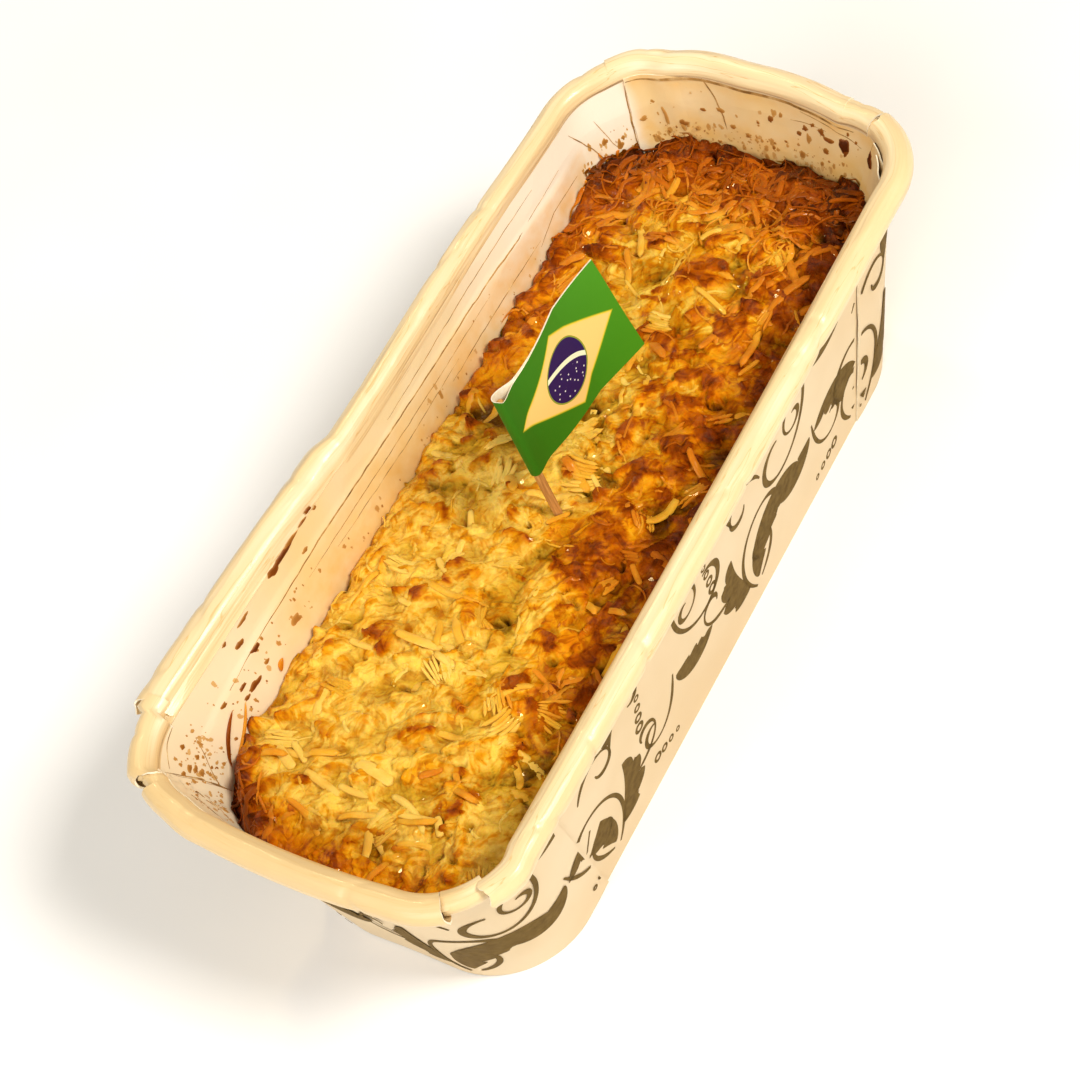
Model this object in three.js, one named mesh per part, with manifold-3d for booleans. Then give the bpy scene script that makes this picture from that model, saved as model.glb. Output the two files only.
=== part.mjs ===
// Cassava coconut cake baked in a one-piece paper loaf case, with a paper flag on a wooden pick.
// Millimetres, +Z up. The origin is the middle of the case's flat base.
// +X is the straight long wall, -X the long wall that has bowed out, +Y the far end.

import * as THREE from 'three';
import { mergeVertices } from 'three/addons/utils/BufferGeometryUtils.js';
import Module from 'manifold-3d';

const wasm = await Module();
wasm.setup();

// Case: outer faces of the paper wall at the base and at the height of the rim
const CASE_HEIGHT = 54;
const PAPER = 0.8;
const WALL_BASE = { halfWidth: 27.1, halfLength: 77.9, corner: 17.8 };
const WALL_TOP = { halfWidth: 34.0, halfLength: 84.8, corner: 14.6 };
const WALL_LEVELS = [0, 0.3, 0.6, 0.87];
const FLAP_PAPER = 0.5;
const FLAP_REACH = 0.06;

// Rolled rim: radius of the roll, and how far its stretches stand out from their wall
const ROLL_RADIUS = 2.9;
const SLACK_ROLL_RADIUS = 2.7;
const LOOSE_ROLL_RADIUS = 3.7;
const CORNER_ROLL_RADIUS = 2.4;
const NEAR_LEFT_ROLL_RADIUS = 2.6;
const TUCKED_ROLL_RADIUS = 2.2;
const NOTCH_ROLL_RADIUS = 1.3;
const ROLL_OVERLAP = 0.7;
const ROLL_START = THREE.MathUtils.degToRad(-140);
const ROLL_END = THREE.MathUtils.degToRad(165);
const ROLL_CORNERS = 9;
const ROLL_LEVEL = CASE_HEIGHT - ROLL_RADIUS;
const LOOSE_ROLL_STEP = 0.4;
const LOOSE_ROLL_SHIFT = 1.2;
const TUCKED_ROLL_SHIFT = -0.2;
const NEAR_RIGHT_ROLL_SHIFT = 0.8;

// How far the walls bow out at the rim
const BOW_RIGHT = 0.5;
const BOW_FAR_RIGHT_CORNER = 0.8;
const BOW_FAR = 3.0;
const BOW_FAR_LEFT = 1.8;
const BOW_LEFT = 1.8;
const BOW_LEFT_NEAR_END = 4.0;
const BOW_NEAR_LEFT_SAG = 1.0;
const BOW_NEAR_LEFT_CORNER = 2.0;
const BOW_NEAR = 1.0;
const BOW_POWER = 1.5;

// Places round the rim: whole numbers are the ends of sides and corners, anticlockwise from
// the near end of the right wall, so 0-1 is the right wall and 1-2 the far right corner
const SIDE_RIGHT = 0;
const SIDE_FAR = 2;
const SIDE_LEFT = 4;
const SIDE_NEAR = 6;
const ONCE_ROUND = 8;
const CUT_FAR_RIGHT = 1.71;
const SEAM_FAR_RIGHT = 1.97;
const CUT_FAR_LEFT = 3.43;
const STEP_LEFT = 4.585;
const CUT_NEAR_LEFT = 5.03;
const CREASE_NEAR_LEFT = 5.42;
const TUCK_NEAR_LEFT = 5.52;
const CUT_NEAR = 7.39;
const CUT_RIGHT = 7.64;
const CUTS = [CUT_FAR_RIGHT, CUT_NEAR_LEFT, CREASE_NEAR_LEFT, CUT_NEAR, CUT_RIGHT];
const NOTCH = 0.035;

// Stretches of the rim over which a bow or a shift comes in or dies away
const FAR_LEFT_BOW_IN = [2.5, 2.9];
const FAR_LEFT_BOW_OUT = [3.15, 3.55];
const LEFT_BOW_IN = [4.0, 4.3];
const LEFT_BOW_GROWS = [4.4, 5.0];
const NEAR_LEFT_BOW_SAGS = [5.0, 6.0];
const CREASE_BOW_OUT = [5.42, 5.77];
const LOOSE_ROLL_GROWS = [4.585, 5.085];
const NEAR_RIGHT_SHIFT_OUT = [7.84, 8.0];

// Straight steps that each side and corner is drawn in, from the right wall on
const CASE_STEPS = [10, 7, 6, 7, 12, 7, 6, 7];
const CAKE_STEPS = [5, 6, 4, 6, 6, 6, 4, 6];
const EDGE_STEP = 0.006;
const LEAST_STEP = 0.0035;

// Cake: level of its top at the walls and in the middle, and the gap it keeps to the paper
const GAP = 0.35;
const CAKE_EDGE_LEVEL = 36;
const CAKE_FAR_RISE = 0.8;
const FAR_RISE_FROM = [35, 75];
const CAKE_DOME = 2.0;
const CAKE_DOME_WIDTH = 22;
const CAKE_EDGE_SLUMP = 1.2;
const CAKE_EDGE_WIDTH = 4;

// Relief of the cake's top: lumps of two sizes on a wavy lattice
const MOUND_SIZE = 9.5;
const MOUND_HEIGHT = 3.2;
const MOUND_SEED = 11;
const CRAG_SIZE = 4.6;
const CRAG_HEIGHT = 1.7;
const CRAG_SEED = 37;
const MEAN_LUMP = 0.6;
const LUMP_MARGIN = 0.15;
const LUMP_LEAN = 0.9;
const LOWEST_LUMP = 0.55;
const LUMP_FALL_ALONG = 0.7;
const LUMP_FALL_ACROSS = 1.7;
const WAVE = 1.4;
const RIPPLE = 0.8;
const RELIEF_STEP = 2.7;
const BATTER_BLOCK = { halfWidth: 40, halfLength: 92, bottom: -5 };

// Coconut shreds that show from a step away
const SHRED_COUNT = 72;
const SHRED_SEED = 91;
const SHRED_FIELD = { halfWidth: 27, halfLength: 78 };
const SHRED_LENGTH = [7, 13];
const SHRED_WIDTH = [1.3, 2.0];
const SHRED_THICKNESS = 0.9;
const SHRED_SEGMENTS = 3;
const SHRED_BEND = 0.9;
const SHRED_TAPER = 0.5;
const SHRED_LIFT = 0.15;
const RAISED_END = 1.6;
const FLAT_SHARE = 0.65;

// Pick: leans a little towards the bowed wall
const PICK_RADIUS = 0.85;
const PICK_LENGTH = 62;
const PICK_POINT = 9;
const PICK_TIP = { radius: 0.25, length: 0.4 };
const PICK_HEAD = { radius: 0.6, rounding: 0.3, length: 1.2 };
const PICK_SIDES = 12;
const PICK_FOOT = { x: 1.5, y: -3.2, z: 38 };
const PICK_SUNK = 27;
const PICK_LEAN = THREE.MathUtils.degToRad(1);
const CLEAR_ABOVE_CAKE = 20;

// Flag: its end leans more than the pick, droops and curls
const FLAG_BOTTOM = 13.0;
const FLAG_HEIGHT = 22.6;
const FLAG_LENGTH = 32;
const FLAG_PAPER = 0.4;
const FLAG_TURN = THREE.MathUtils.degToRad(83);
const FLAG_BELLY = 1.2;
const FLAG_BELLY_LENGTH = 0.62;
const FLAG_END_CURL = 0.5;
const FLAG_END_LEAN = 3.4;
const FLAG_DROOP = 1.2;
const FLAG_STEPS = 22;
const FLAG_ROWS = 3;
const WRAP_STEPS = 16;

// A number from 0 to 1 that belongs to a cell of a square lattice
function cellValue(i, j, layer) {
  let bits = Math.imul(i, 374761393) + Math.imul(j, 668265263) + Math.imul(layer, 1274126177);
  bits = Math.imul(bits ^ (bits >>> 13), 1274126177);
  bits ^= bits >>> 16;
  return (bits >>> 0) / 4294967296;
}

function smooth(t) {
  const s = Math.min(1, Math.max(0, t));
  return s * s * (3 - 2 * s);
}

// Rises from 0 to 1 over a stretch
function eased(place, [from, to]) {
  return smooth((place - from) / (to - from));
}

function mix(a, b, t) {
  return a + (b - a) * t;
}

// A parabola that is 1 in the middle of a side and 0 at its ends
function arch(f) {
  return 1 - (2 * f - 1) * (2 * f - 1);
}

// Point and outward direction at a place round a rounded rectangle
function roundOutline(place, { halfWidth, halfLength, corner }) {
  const side = Math.floor(place) % ONCE_ROUND;
  const f = place - Math.floor(place);
  const x = halfWidth - corner;
  const y = halfLength - corner;
  const cornerSigns = { 1: [1, 1], 3: [-1, 1], 5: [-1, -1], 7: [1, -1] };
  if (side % 2 === 1) {
    const angle = ((side - 1) / 2 + f) * Math.PI / 2;
    const [sx, sy] = cornerSigns[side];
    const nx = Math.cos(angle);
    const ny = Math.sin(angle);
    return { x: sx * x + corner * nx, y: sy * y + corner * ny, nx, ny };
  }
  if (side === SIDE_RIGHT) return { x: halfWidth, y: mix(-y, y, f), nx: 1, ny: 0 };
  if (side === SIDE_FAR) return { x: mix(x, -x, f), y: halfLength, nx: 0, ny: 1 };
  if (side === SIDE_LEFT) return { x: -halfWidth, y: mix(y, -y, f), nx: -1, ny: 0 };
  return { x: mix(-x, x, f), y: -halfLength, nx: 0, ny: -1 };
}

// How far the wall bows out at the rim
function wallBow(place) {
  const u = place % ONCE_ROUND;
  if (u < 1) return BOW_RIGHT * arch(u);
  if (u < 2) return BOW_FAR_RIGHT_CORNER * arch(u - 1);
  if (u < 3) return BOW_FAR * arch(u - SIDE_FAR) + BOW_FAR_LEFT * eased(u, FAR_LEFT_BOW_IN);
  if (u < 4) return BOW_FAR_LEFT * (1 - eased(u, FAR_LEFT_BOW_OUT));
  if (u < 5) {
    const growth = (BOW_LEFT_NEAR_END - BOW_LEFT) * eased(u, LEFT_BOW_GROWS);
    return BOW_LEFT * eased(u, LEFT_BOW_IN) + growth;
  }
  if (u < CREASE_NEAR_LEFT) {
    return BOW_LEFT_NEAR_END - BOW_NEAR_LEFT_SAG * eased(u, NEAR_LEFT_BOW_SAGS);
  }
  if (u < 6) return BOW_NEAR_LEFT_CORNER * (1 - eased(u, CREASE_BOW_OUT));
  if (u < 7) return BOW_NEAR * arch(u - SIDE_NEAR);
  return 0;
}

// The loosened part of the left roll and the roll at the near right corner stand out further
function rollShift(place) {
  const u = place % ONCE_ROUND;
  if (u > STEP_LEFT && u < CUT_NEAR_LEFT) {
    return LOOSE_ROLL_STEP + LOOSE_ROLL_SHIFT * eased(u, LOOSE_ROLL_GROWS);
  }
  if (u > CUT_NEAR && u < CUT_RIGHT) return TUCKED_ROLL_SHIFT;
  if (u > CUT_RIGHT) return NEAR_RIGHT_ROLL_SHIFT * (1 - eased(u, NEAR_RIGHT_SHIFT_OUT));
  return 0;
}

// Radius of the roll: each stretch ends in a cut, a narrow notch between two rolls
function rollRadius(place) {
  const u = place % ONCE_ROUND;
  const within = (from, to) => u > from && u < to;
  if (CUTS.some((cut) => Math.abs(u - cut) < NOTCH * 0.6)) return NOTCH_ROLL_RADIUS;
  if (within(CUT_FAR_RIGHT, SEAM_FAR_RIGHT)) return CORNER_ROLL_RADIUS;
  if (within(CUT_FAR_LEFT, STEP_LEFT)) return SLACK_ROLL_RADIUS;
  if (within(STEP_LEFT, CUT_NEAR_LEFT)) return LOOSE_ROLL_RADIUS;
  if (within(CUT_NEAR_LEFT, CREASE_NEAR_LEFT)) return NEAR_LEFT_ROLL_RADIUS;
  if (within(CREASE_NEAR_LEFT, TUCK_NEAR_LEFT)) return TUCKED_ROLL_RADIUS;
  if (within(CUT_NEAR, CUT_RIGHT)) return TUCKED_ROLL_RADIUS;
  return ROLL_RADIUS;
}

// End walls wrap round the corners outside the long walls, a second layer of paper
function flapThickness(place) {
  const u = place % ONCE_ROUND;
  const wrapsFarRight = u > 1 - FLAP_REACH && u < 2;
  const wrapsFarLeft = u > 3 && u < 4 + FLAP_REACH;
  const wrapsNearLeft = u > 5 - FLAP_REACH && u < 6;
  const wrapsNearRight = u > 7 || u < FLAP_REACH;
  return wrapsFarRight || wrapsFarLeft || wrapsNearLeft || wrapsNearRight ? FLAP_PAPER : 0;
}

// Even places along the sides and corners
function evenPlaces(steps) {
  const places = [];
  steps.forEach((count, side) => {
    for (let i = 0; i < count; i += 1) places.push(side + i / count);
  });
  return places;
}

// Places round the case: the even ones, a close pair at each edge, and two pairs at each cut
function rimPlaces() {
  const places = evenPlaces(CASE_STEPS);
  const flapEdges = [FLAP_REACH, 1 - FLAP_REACH, 2, 3, 4 + FLAP_REACH, 5 - FLAP_REACH, 6, 7];
  const steppedEdges = [...flapEdges, SEAM_FAR_RIGHT, CUT_FAR_LEFT, STEP_LEFT, TUCK_NEAR_LEFT];
  steppedEdges.forEach((edge) => places.push(edge - EDGE_STEP, edge + EDGE_STEP));
  CUTS.forEach((cut) => places.push(cut - NOTCH * 0.8, cut - NOTCH * 0.4));
  CUTS.forEach((cut) => places.push(cut + NOTCH * 0.4, cut + NOTCH * 0.8));
  const sorted = places.map((u) => (u + ONCE_ROUND) % ONCE_ROUND).sort((a, b) => a - b);
  return sorted.filter((u, i) => i === 0 || u - sorted[i - 1] > LEAST_STEP);
}

// Wall outline at a height, moved outwards by a distance
function wallPoint(place, z, outwards) {
  const t = z / ROLL_LEVEL;
  const low = roundOutline(place, WALL_BASE);
  const high = roundOutline(place, WALL_TOP);
  const reach = outwards + wallBow(place) * Math.pow(Math.max(t, 0), BOW_POWER);
  return [
    mix(low.x, high.x, t) + high.nx * reach,
    mix(low.y, high.y, t) + high.ny * reach,
    z,
  ];
}

// Joins rings of points into a closed solid: side walls between rings, a fan on each end
function loftRings(rings) {
  const count = rings[0].length;
  const positions = rings.flat().flat();
  const indices = [];
  for (let r = 0; r + 1 < rings.length; r += 1) {
    for (let i = 0; i < count; i += 1) {
      const a = r * count + i;
      const b = r * count + (i + 1) % count;
      indices.push(a, b, a + count, b, b + count, a + count);
    }
  }
  const addFan = (ring, start, flip) => {
    const middle = positions.length / 3;
    positions.push(0, 0, ring[0][2]);
    for (let i = 0; i < count; i += 1) {
      const a = start + i;
      const b = start + (i + 1) % count;
      if (flip) indices.push(middle, b, a);
      else indices.push(middle, a, b);
    }
  };
  addFan(rings[0], 0, true);
  addFan(rings[rings.length - 1], (rings.length - 1) * count, false);
  const geometry = new THREE.BufferGeometry();
  geometry.setAttribute('position', new THREE.Float32BufferAttribute(positions, 3));
  geometry.setIndex(indices);
  return geometry;
}

// Section of the case at one place: up the outside, round the roll, and down the inside
function caseSection(place) {
  const radius = rollRadius(place);
  const centreOut = radius - ROLL_OVERLAP + rollShift(place);
  const centreZ = CASE_HEIGHT - Math.max(radius, ROLL_RADIUS);
  const flap = flapThickness(place);
  const outside = WALL_LEVELS.map((t) => wallPoint(place, t * ROLL_LEVEL, flap));
  const roll = [];
  for (let i = 0; i < ROLL_CORNERS; i += 1) {
    const angle = mix(ROLL_START, ROLL_END, i / (ROLL_CORNERS - 1));
    const out = centreOut + radius * Math.cos(angle);
    const [x, y] = wallPoint(place, ROLL_LEVEL, out);
    roll.push([x, y, centreZ + radius * Math.sin(angle)]);
  }
  const levels = WALL_LEVELS.slice(1).reverse();
  const inside = levels.map((t) => wallPoint(place, t * ROLL_LEVEL, -PAPER));
  const floor = wallPoint(place, PAPER, -PAPER);
  return [...outside, ...roll, ...inside, floor];
}

function buildCase() {
  const sections = rimPlaces().map(caseSection);
  const rings = sections[0].map((_, level) => sections.map((section) => section[level]));
  return loftRings(rings);
}

// The space inside the case that the batter filled, with straight chords between fewer places
function caseInside() {
  const places = evenPlaces(CAKE_STEPS);
  const levels = [PAPER + GAP, ...WALL_LEVELS.slice(1).map((t) => t * ROLL_LEVEL)];
  return loftRings(levels.map((z) => places.map((place) => wallPoint(place, z, -PAPER - GAP))));
}

// Rounded lumps of one size: each lattice cell holds a leaning, stretched dome, and the
// highest dome shows
function lumps(x, y, size, seed) {
  const i0 = Math.floor(x / size);
  const j0 = Math.floor(y / size);
  const spread = 1 - 2 * LUMP_MARGIN;
  let top = -1;
  for (let i = i0 - 1; i <= i0 + 1; i += 1) {
    for (let j = j0 - 1; j <= j0 + 1; j += 1) {
      const dx = x / size - (i + LUMP_MARGIN + spread * cellValue(i, j, seed));
      const dy = y / size - (j + LUMP_MARGIN + spread * cellValue(i, j, seed + 1));
      const turn = Math.PI * cellValue(i, j, seed + 2);
      const along = dx * Math.cos(turn) + dy * Math.sin(turn);
      const across = dy * Math.cos(turn) - dx * Math.sin(turn);
      const lean = LUMP_LEAN * (cellValue(i, j, seed + 3) - 0.5) * across;
      const level = mix(LOWEST_LUMP, 1, cellValue(i, j, seed + 4));
      const fall = LUMP_FALL_ALONG * along * along + LUMP_FALL_ACROSS * across * across;
      top = Math.max(top, level + lean - fall);
    }
  }
  return top;
}

// Shortest distance from a point of the cake's top to the wall, on the plain outline
function wallDistance(x, y) {
  const t = CAKE_EDGE_LEVEL / ROLL_LEVEL;
  const corner = mix(WALL_BASE.corner, WALL_TOP.corner, t);
  const qx = Math.abs(x) - mix(WALL_BASE.halfWidth, WALL_TOP.halfWidth, t) + corner;
  const qy = Math.abs(y) - mix(WALL_BASE.halfLength, WALL_TOP.halfLength, t) + corner;
  const beyond = Math.hypot(Math.max(qx, 0), Math.max(qy, 0));
  return corner - beyond - Math.min(Math.max(qx, qy), 0);
}

// Level of the cake's top: a low dome with coarse mounds and smaller crags
function cakeTop(x, y) {
  const inwards = Math.max(0, wallDistance(x, y));
  const dome = CAKE_DOME * smooth(inwards / CAKE_DOME_WIDTH);
  const slump = CAKE_EDGE_SLUMP * (1 - smooth(inwards / CAKE_EDGE_WIDTH));
  const wx = x + WAVE * Math.sin(y * 0.31 + 1.7) + RIPPLE * Math.sin(y * 0.83);
  const wy = y + WAVE * Math.sin(x * 0.37 + 0.4) + RIPPLE * Math.sin(x * 0.91 + 2.1);
  const rise = CAKE_FAR_RISE * eased(y, FAR_RISE_FROM);
  const mounds = MOUND_HEIGHT * (lumps(wx, wy, MOUND_SIZE, MOUND_SEED) - MEAN_LUMP);
  const crags = CRAG_HEIGHT * (lumps(wx, wy, CRAG_SIZE, CRAG_SEED) - MEAN_LUMP);
  return CAKE_EDGE_LEVEL + rise + dome - slump + mounds + crags;
}

// A block of batter whose top carries the relief
function reliefBlock() {
  const { halfWidth, halfLength, bottom } = BATTER_BLOCK;
  const columns = Math.round(2 * halfWidth / RELIEF_STEP);
  const rows = Math.round(2 * halfLength / RELIEF_STEP);
  const geometry = new THREE.BoxGeometry(2 * halfWidth, 2 * halfLength, 1, columns, rows, 1);
  const position = geometry.attributes.position;
  for (let i = 0; i < position.count; i += 1) {
    const level = cakeTop(position.getX(i), position.getY(i));
    position.setZ(i, position.getZ(i) > 0 ? level : bottom);
  }
  return geometry;
}

// One bent coconut shred that follows the cake's top, sunk to half its thickness
function shredGeometry(index) {
  const draw = (from, to, slot) => mix(from, to, cellValue(index, slot, SHRED_SEED));
  const x0 = draw(-SHRED_FIELD.halfWidth, SHRED_FIELD.halfWidth, 0);
  const y0 = draw(-SHRED_FIELD.halfLength, SHRED_FIELD.halfLength, 1);
  const length = draw(...SHRED_LENGTH, 2);
  const width = draw(...SHRED_WIDTH, 3);
  const heading = draw(0, 2 * Math.PI, 4);
  const bend = draw(-SHRED_BEND / 2, SHRED_BEND / 2, 5);
  const raised = draw(0, 1, 6) > FLAT_SHARE ? RAISED_END : 0;
  const geometry = new THREE.BoxGeometry(1, 1, 1, SHRED_SEGMENTS, 1, 1);
  const position = geometry.attributes.position;
  for (let i = 0; i < position.count; i += 1) {
    const along = position.getX(i);
    const taper = 1 - SHRED_TAPER * Math.pow(Math.abs(2 * along), 3);
    const side = position.getY(i) * width * taper;
    const angle = heading + bend * along;
    const x = x0 + along * length * Math.cos(angle) - side * Math.sin(angle);
    const y = y0 + along * length * Math.sin(angle) + side * Math.cos(angle);
    const lift = SHRED_LIFT + raised * smooth(along * 2);
    const z = cakeTop(x, y) + lift + position.getZ(i) * SHRED_THICKNESS;
    position.setXYZ(i, x, y, z);
  }
  return geometry;
}

function mergedGeometry(geometry) {
  const bare = geometry.clone();
  bare.deleteAttribute('normal');
  bare.deleteAttribute('uv');
  return mergeVertices(bare, 1e-4);
}

function toSolid(geometry) {
  const merged = mergedGeometry(geometry);
  const vertProperties = new Float32Array(merged.attributes.position.array);
  const triVerts = new Uint32Array(merged.index.array);
  return new wasm.Manifold(new wasm.Mesh({ numProp: 3, vertProperties, triVerts }));
}

function toGeometry(solid) {
  const mesh = solid.getMesh();
  const geometry = new THREE.BufferGeometry();
  geometry.setAttribute('position', new THREE.BufferAttribute(mesh.vertProperties, 3));
  geometry.setIndex(new THREE.BufferAttribute(mesh.triVerts, 1));
  return geometry;
}

// Keeps the largest closed body, so a sealed pocket is filled and a loose scrap dropped
function largestBody(solid) {
  const bodies = solid.decompose();
  return bodies.reduce((best, body) => (body.volume() > best.volume() ? body : best));
}

// Places a geometry built round the pick's axis: z runs along the pick from the cake's top
function alongPick(geometry) {
  geometry.rotateY(-PICK_LEAN);
  geometry.translate(PICK_FOOT.x, PICK_FOOT.y, PICK_FOOT.z);
  return geometry;
}

function pickHole() {
  const depth = PICK_SUNK + GAP;
  const radius = PICK_RADIUS + GAP;
  const hole = new THREE.CylinderGeometry(radius, radius, depth + CLEAR_ABOVE_CAKE, PICK_SIDES);
  hole.rotateX(Math.PI / 2);
  hole.translate(0, 0, (CLEAR_ABOVE_CAKE - depth) / 2);
  return alongPick(hole);
}

function buildCake() {
  const inside = toSolid(caseInside());
  let cake = toSolid(reliefBlock()).intersect(inside);
  for (let i = 0; i < SHRED_COUNT; i += 1) {
    cake = cake.add(toSolid(shredGeometry(i)).intersect(inside));
  }
  return toGeometry(largestBody(cake.subtract(toSolid(pickHole()))));
}

// Turned wooden pick with a long point below and a rounded head
function buildPick() {
  const low = -PICK_SUNK;
  const high = PICK_LENGTH - PICK_SUNK;
  const profile = [
    new THREE.Vector2(0, low),
    new THREE.Vector2(PICK_TIP.radius, low + PICK_TIP.length),
    new THREE.Vector2(PICK_RADIUS, low + PICK_POINT),
    new THREE.Vector2(PICK_RADIUS, high - PICK_HEAD.length),
    new THREE.Vector2(PICK_HEAD.radius, high - PICK_HEAD.rounding),
    new THREE.Vector2(0, high),
  ];
  const pick = new THREE.LatheGeometry(profile, PICK_SIDES);
  pick.rotateX(Math.PI / 2);
  return alongPick(pick);
}

// How far the flag's tail bellies to one side, and curls back at its end
function flagBelly(s) {
  return -FLAG_BELLY * Math.sin(Math.PI * Math.min(1, s / FLAG_BELLY_LENGTH)) + FLAG_END_CURL * s * s;
}

// Flag seen from above: paper wrapped round the pick, its two layers glued in a wavy tail
function flagSection() {
  const inner = PICK_RADIUS + GAP;
  const outer = inner + FLAG_PAPER;
  const half = FLAG_PAPER / 2;
  const start = Math.sqrt(outer * outer - half * half);
  const front = [];
  const back = [];
  for (let i = 0; i <= FLAG_STEPS; i += 1) {
    const s = i / FLAG_STEPS;
    const x = mix(start, FLAG_LENGTH, s);
    front.push(new THREE.Vector2(x, flagBelly(s) - half));
    back.unshift(new THREE.Vector2(x, flagBelly(s) + half));
  }
  const wrap = [];
  const opening = Math.asin(half / outer);
  for (let i = 1; i < WRAP_STEPS; i += 1) {
    const angle = mix(opening, 2 * Math.PI - opening, i / WRAP_STEPS);
    wrap.push(new THREE.Vector2(outer * Math.cos(angle), outer * Math.sin(angle)));
  }
  const shape = new THREE.Shape([...front, ...back, ...wrap]);
  const hole = [];
  for (let i = 0; i < WRAP_STEPS; i += 1) {
    const angle = -2 * Math.PI * i / WRAP_STEPS;
    hole.push(new THREE.Vector2(inner * Math.cos(angle), inner * Math.sin(angle)));
  }
  shape.holes.push(new THREE.Path(hole));
  return shape;
}

function buildFlag() {
  const flag = new THREE.ExtrudeGeometry(flagSection(), {
    depth: FLAG_HEIGHT,
    steps: FLAG_ROWS,
    bevelEnabled: false,
  });
  const position = flag.attributes.position;
  for (let i = 0; i < position.count; i += 1) {
    const along = Math.max(0, position.getX(i) / FLAG_LENGTH);
    const height = position.getZ(i) / FLAG_HEIGHT - 0.5;
    position.setY(i, position.getY(i) + FLAG_END_LEAN * height * smooth(along));
    position.setZ(i, position.getZ(i) - FLAG_DROOP * along * along);
  }
  flag.rotateZ(FLAG_TURN);
  flag.translate(0, 0, FLAG_BOTTOM);
  return alongPick(flag);
}

function namedMesh(name, geometry, color, roughness) {
  const material = new THREE.MeshStandardMaterial({ color, roughness, metalness: 0 });
  const mesh = new THREE.Mesh(geometry, material);
  mesh.name = name;
  return mesh;
}

const group = new THREE.Group();
group.add(namedMesh('case', buildCase(), 0xf7e4b8, 0.35));
group.add(namedMesh('cake', buildCake(), 0xd9992b, 0.45));
group.add(namedMesh('pick', buildPick(), 0xb8813f, 0.6));
group.add(namedMesh('flag', buildFlag(), 0x2f8a1c, 0.5));

export default group;
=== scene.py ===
"""Cassava coconut cake in a paper loaf case, with a paper flag on a wooden pick.

Shape functions work in millimetres, and meshes are written in metres. +X is the straight long
wall, -X the long wall that has bowed out, +Y the far end, and the origin is the middle of the base.
"""
import contextlib
import functools
import math

import bpy
import numpy as np
from mathutils import Matrix, Vector


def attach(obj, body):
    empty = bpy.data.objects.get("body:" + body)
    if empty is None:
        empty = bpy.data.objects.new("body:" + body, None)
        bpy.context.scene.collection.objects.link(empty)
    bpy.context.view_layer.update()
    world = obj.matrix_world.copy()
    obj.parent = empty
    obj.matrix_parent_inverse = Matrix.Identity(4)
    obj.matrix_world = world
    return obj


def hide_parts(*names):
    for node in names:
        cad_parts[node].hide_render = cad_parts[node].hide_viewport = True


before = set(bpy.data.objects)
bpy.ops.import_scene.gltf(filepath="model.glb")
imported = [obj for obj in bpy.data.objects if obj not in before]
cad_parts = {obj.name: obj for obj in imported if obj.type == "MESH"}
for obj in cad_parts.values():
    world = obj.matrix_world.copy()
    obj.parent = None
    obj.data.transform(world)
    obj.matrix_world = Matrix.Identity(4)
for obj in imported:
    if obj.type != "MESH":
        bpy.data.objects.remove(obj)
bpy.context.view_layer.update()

bl_info = {
    "name": "Cassava coconut cake",
    "version": (1, 0, 0),
    "blender": (4, 5, 0),
    "location": "3D View > Sidebar > Cake",
    "description": "Builds a cassava coconut cake in a paper loaf case with a flag on a pick",
    "category": "Object",
}

MM = 0.001

# Case, the same sizes as in the CAD model
CASE_HEIGHT = 54.0
PAPER = 0.8
WALL_BASE = (27.1, 77.9, 17.8)
WALL_TOP = (34.0, 84.8, 14.6)
ROLL_RADIUS = 2.9
ROLL_LEVEL = CASE_HEIGHT - ROLL_RADIUS
ROLL_OVERLAP = 0.7
BOW_POWER = 1.5
FLAP = 0.5
FLAP_REACH = 0.06
ONCE_ROUND = 8.0
SIDE_LENGTHS = (130.0, 25.4, 28.7, 25.4, 130.0, 25.4, 28.7, 25.4)
SIDE_ENDS = np.concatenate([[0.0], np.cumsum(SIDE_LENGTHS)])
ROUND_LENGTH = SIDE_ENDS[-1]
STEP_LEFT = 4.585
CUT_NEAR_LEFT = 5.03
CUT_NEAR = 7.39
CUT_RIGHT = 7.64

# Cake, the same sizes as in the CAD model
CAKE_EDGE_LEVEL = 36.0
SHRED_COUNT = 72
SHRED_SEED = 91

# Relief raster of the cake's top
RASTER_PITCH = 0.2
RASTER_HALF_WIDTH = 38.0
RASTER_HALF_LENGTH = 92.0

# About how wide and long the cake's top is, and how far its shreds stay from the wall
TOP_SIZE = (68.0, 165.0)
SHRED_GAP = 0.25

# Pick and flag, the same sizes as in the CAD model
PICK_RADIUS = 0.85
PICK_FOOT = (1.5, -3.2, 38.0)
PICK_LEAN = math.radians(1)
FLAG_BOTTOM = 13.0
FLAG_HEIGHT = 22.6
FLAG_LENGTH = 32.0
FLAG_TURN = math.radians(83)
FLAG_DISC = (15.4, 11.0, 0.0)
FLAG_BAND = (9.5, -2.9, 0.0)


def smooth(t):
    """Rises from 0 to 1 with a soft start and end."""
    s = unit(t)
    return s * s * (3.0 - 2.0 * s)


def eased(value, start, end):
    """0 before the start, 1 beyond the end, and a soft rise between them."""
    return smooth((value - start) / (end - start))


def between(value, rise_from, rise_to, fall_from, fall_to):
    """1 in the middle of a range, with a soft rise before it and a soft fall behind."""
    return eased(value, rise_from, rise_to) * (1.0 - eased(value, fall_from, fall_to))


def unit(value):
    """The value held between 0 and 1."""
    return np.clip(value, 0.0, 1.0)


def mix(a, b, t):
    """The value a share t of the way from a to b."""
    return a + (b - a) * t


def arch(f):
    """A flat arch over 0 to 1: 0 at both ends and 1 in the middle."""
    return 1.0 - (2.0 * f - 1.0) ** 2


def bump_at(value, centre, half_width):
    """1 at a centre, and 0 beyond a half width from it."""
    return smooth(1.0 - np.abs(value - centre) / half_width)


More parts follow.
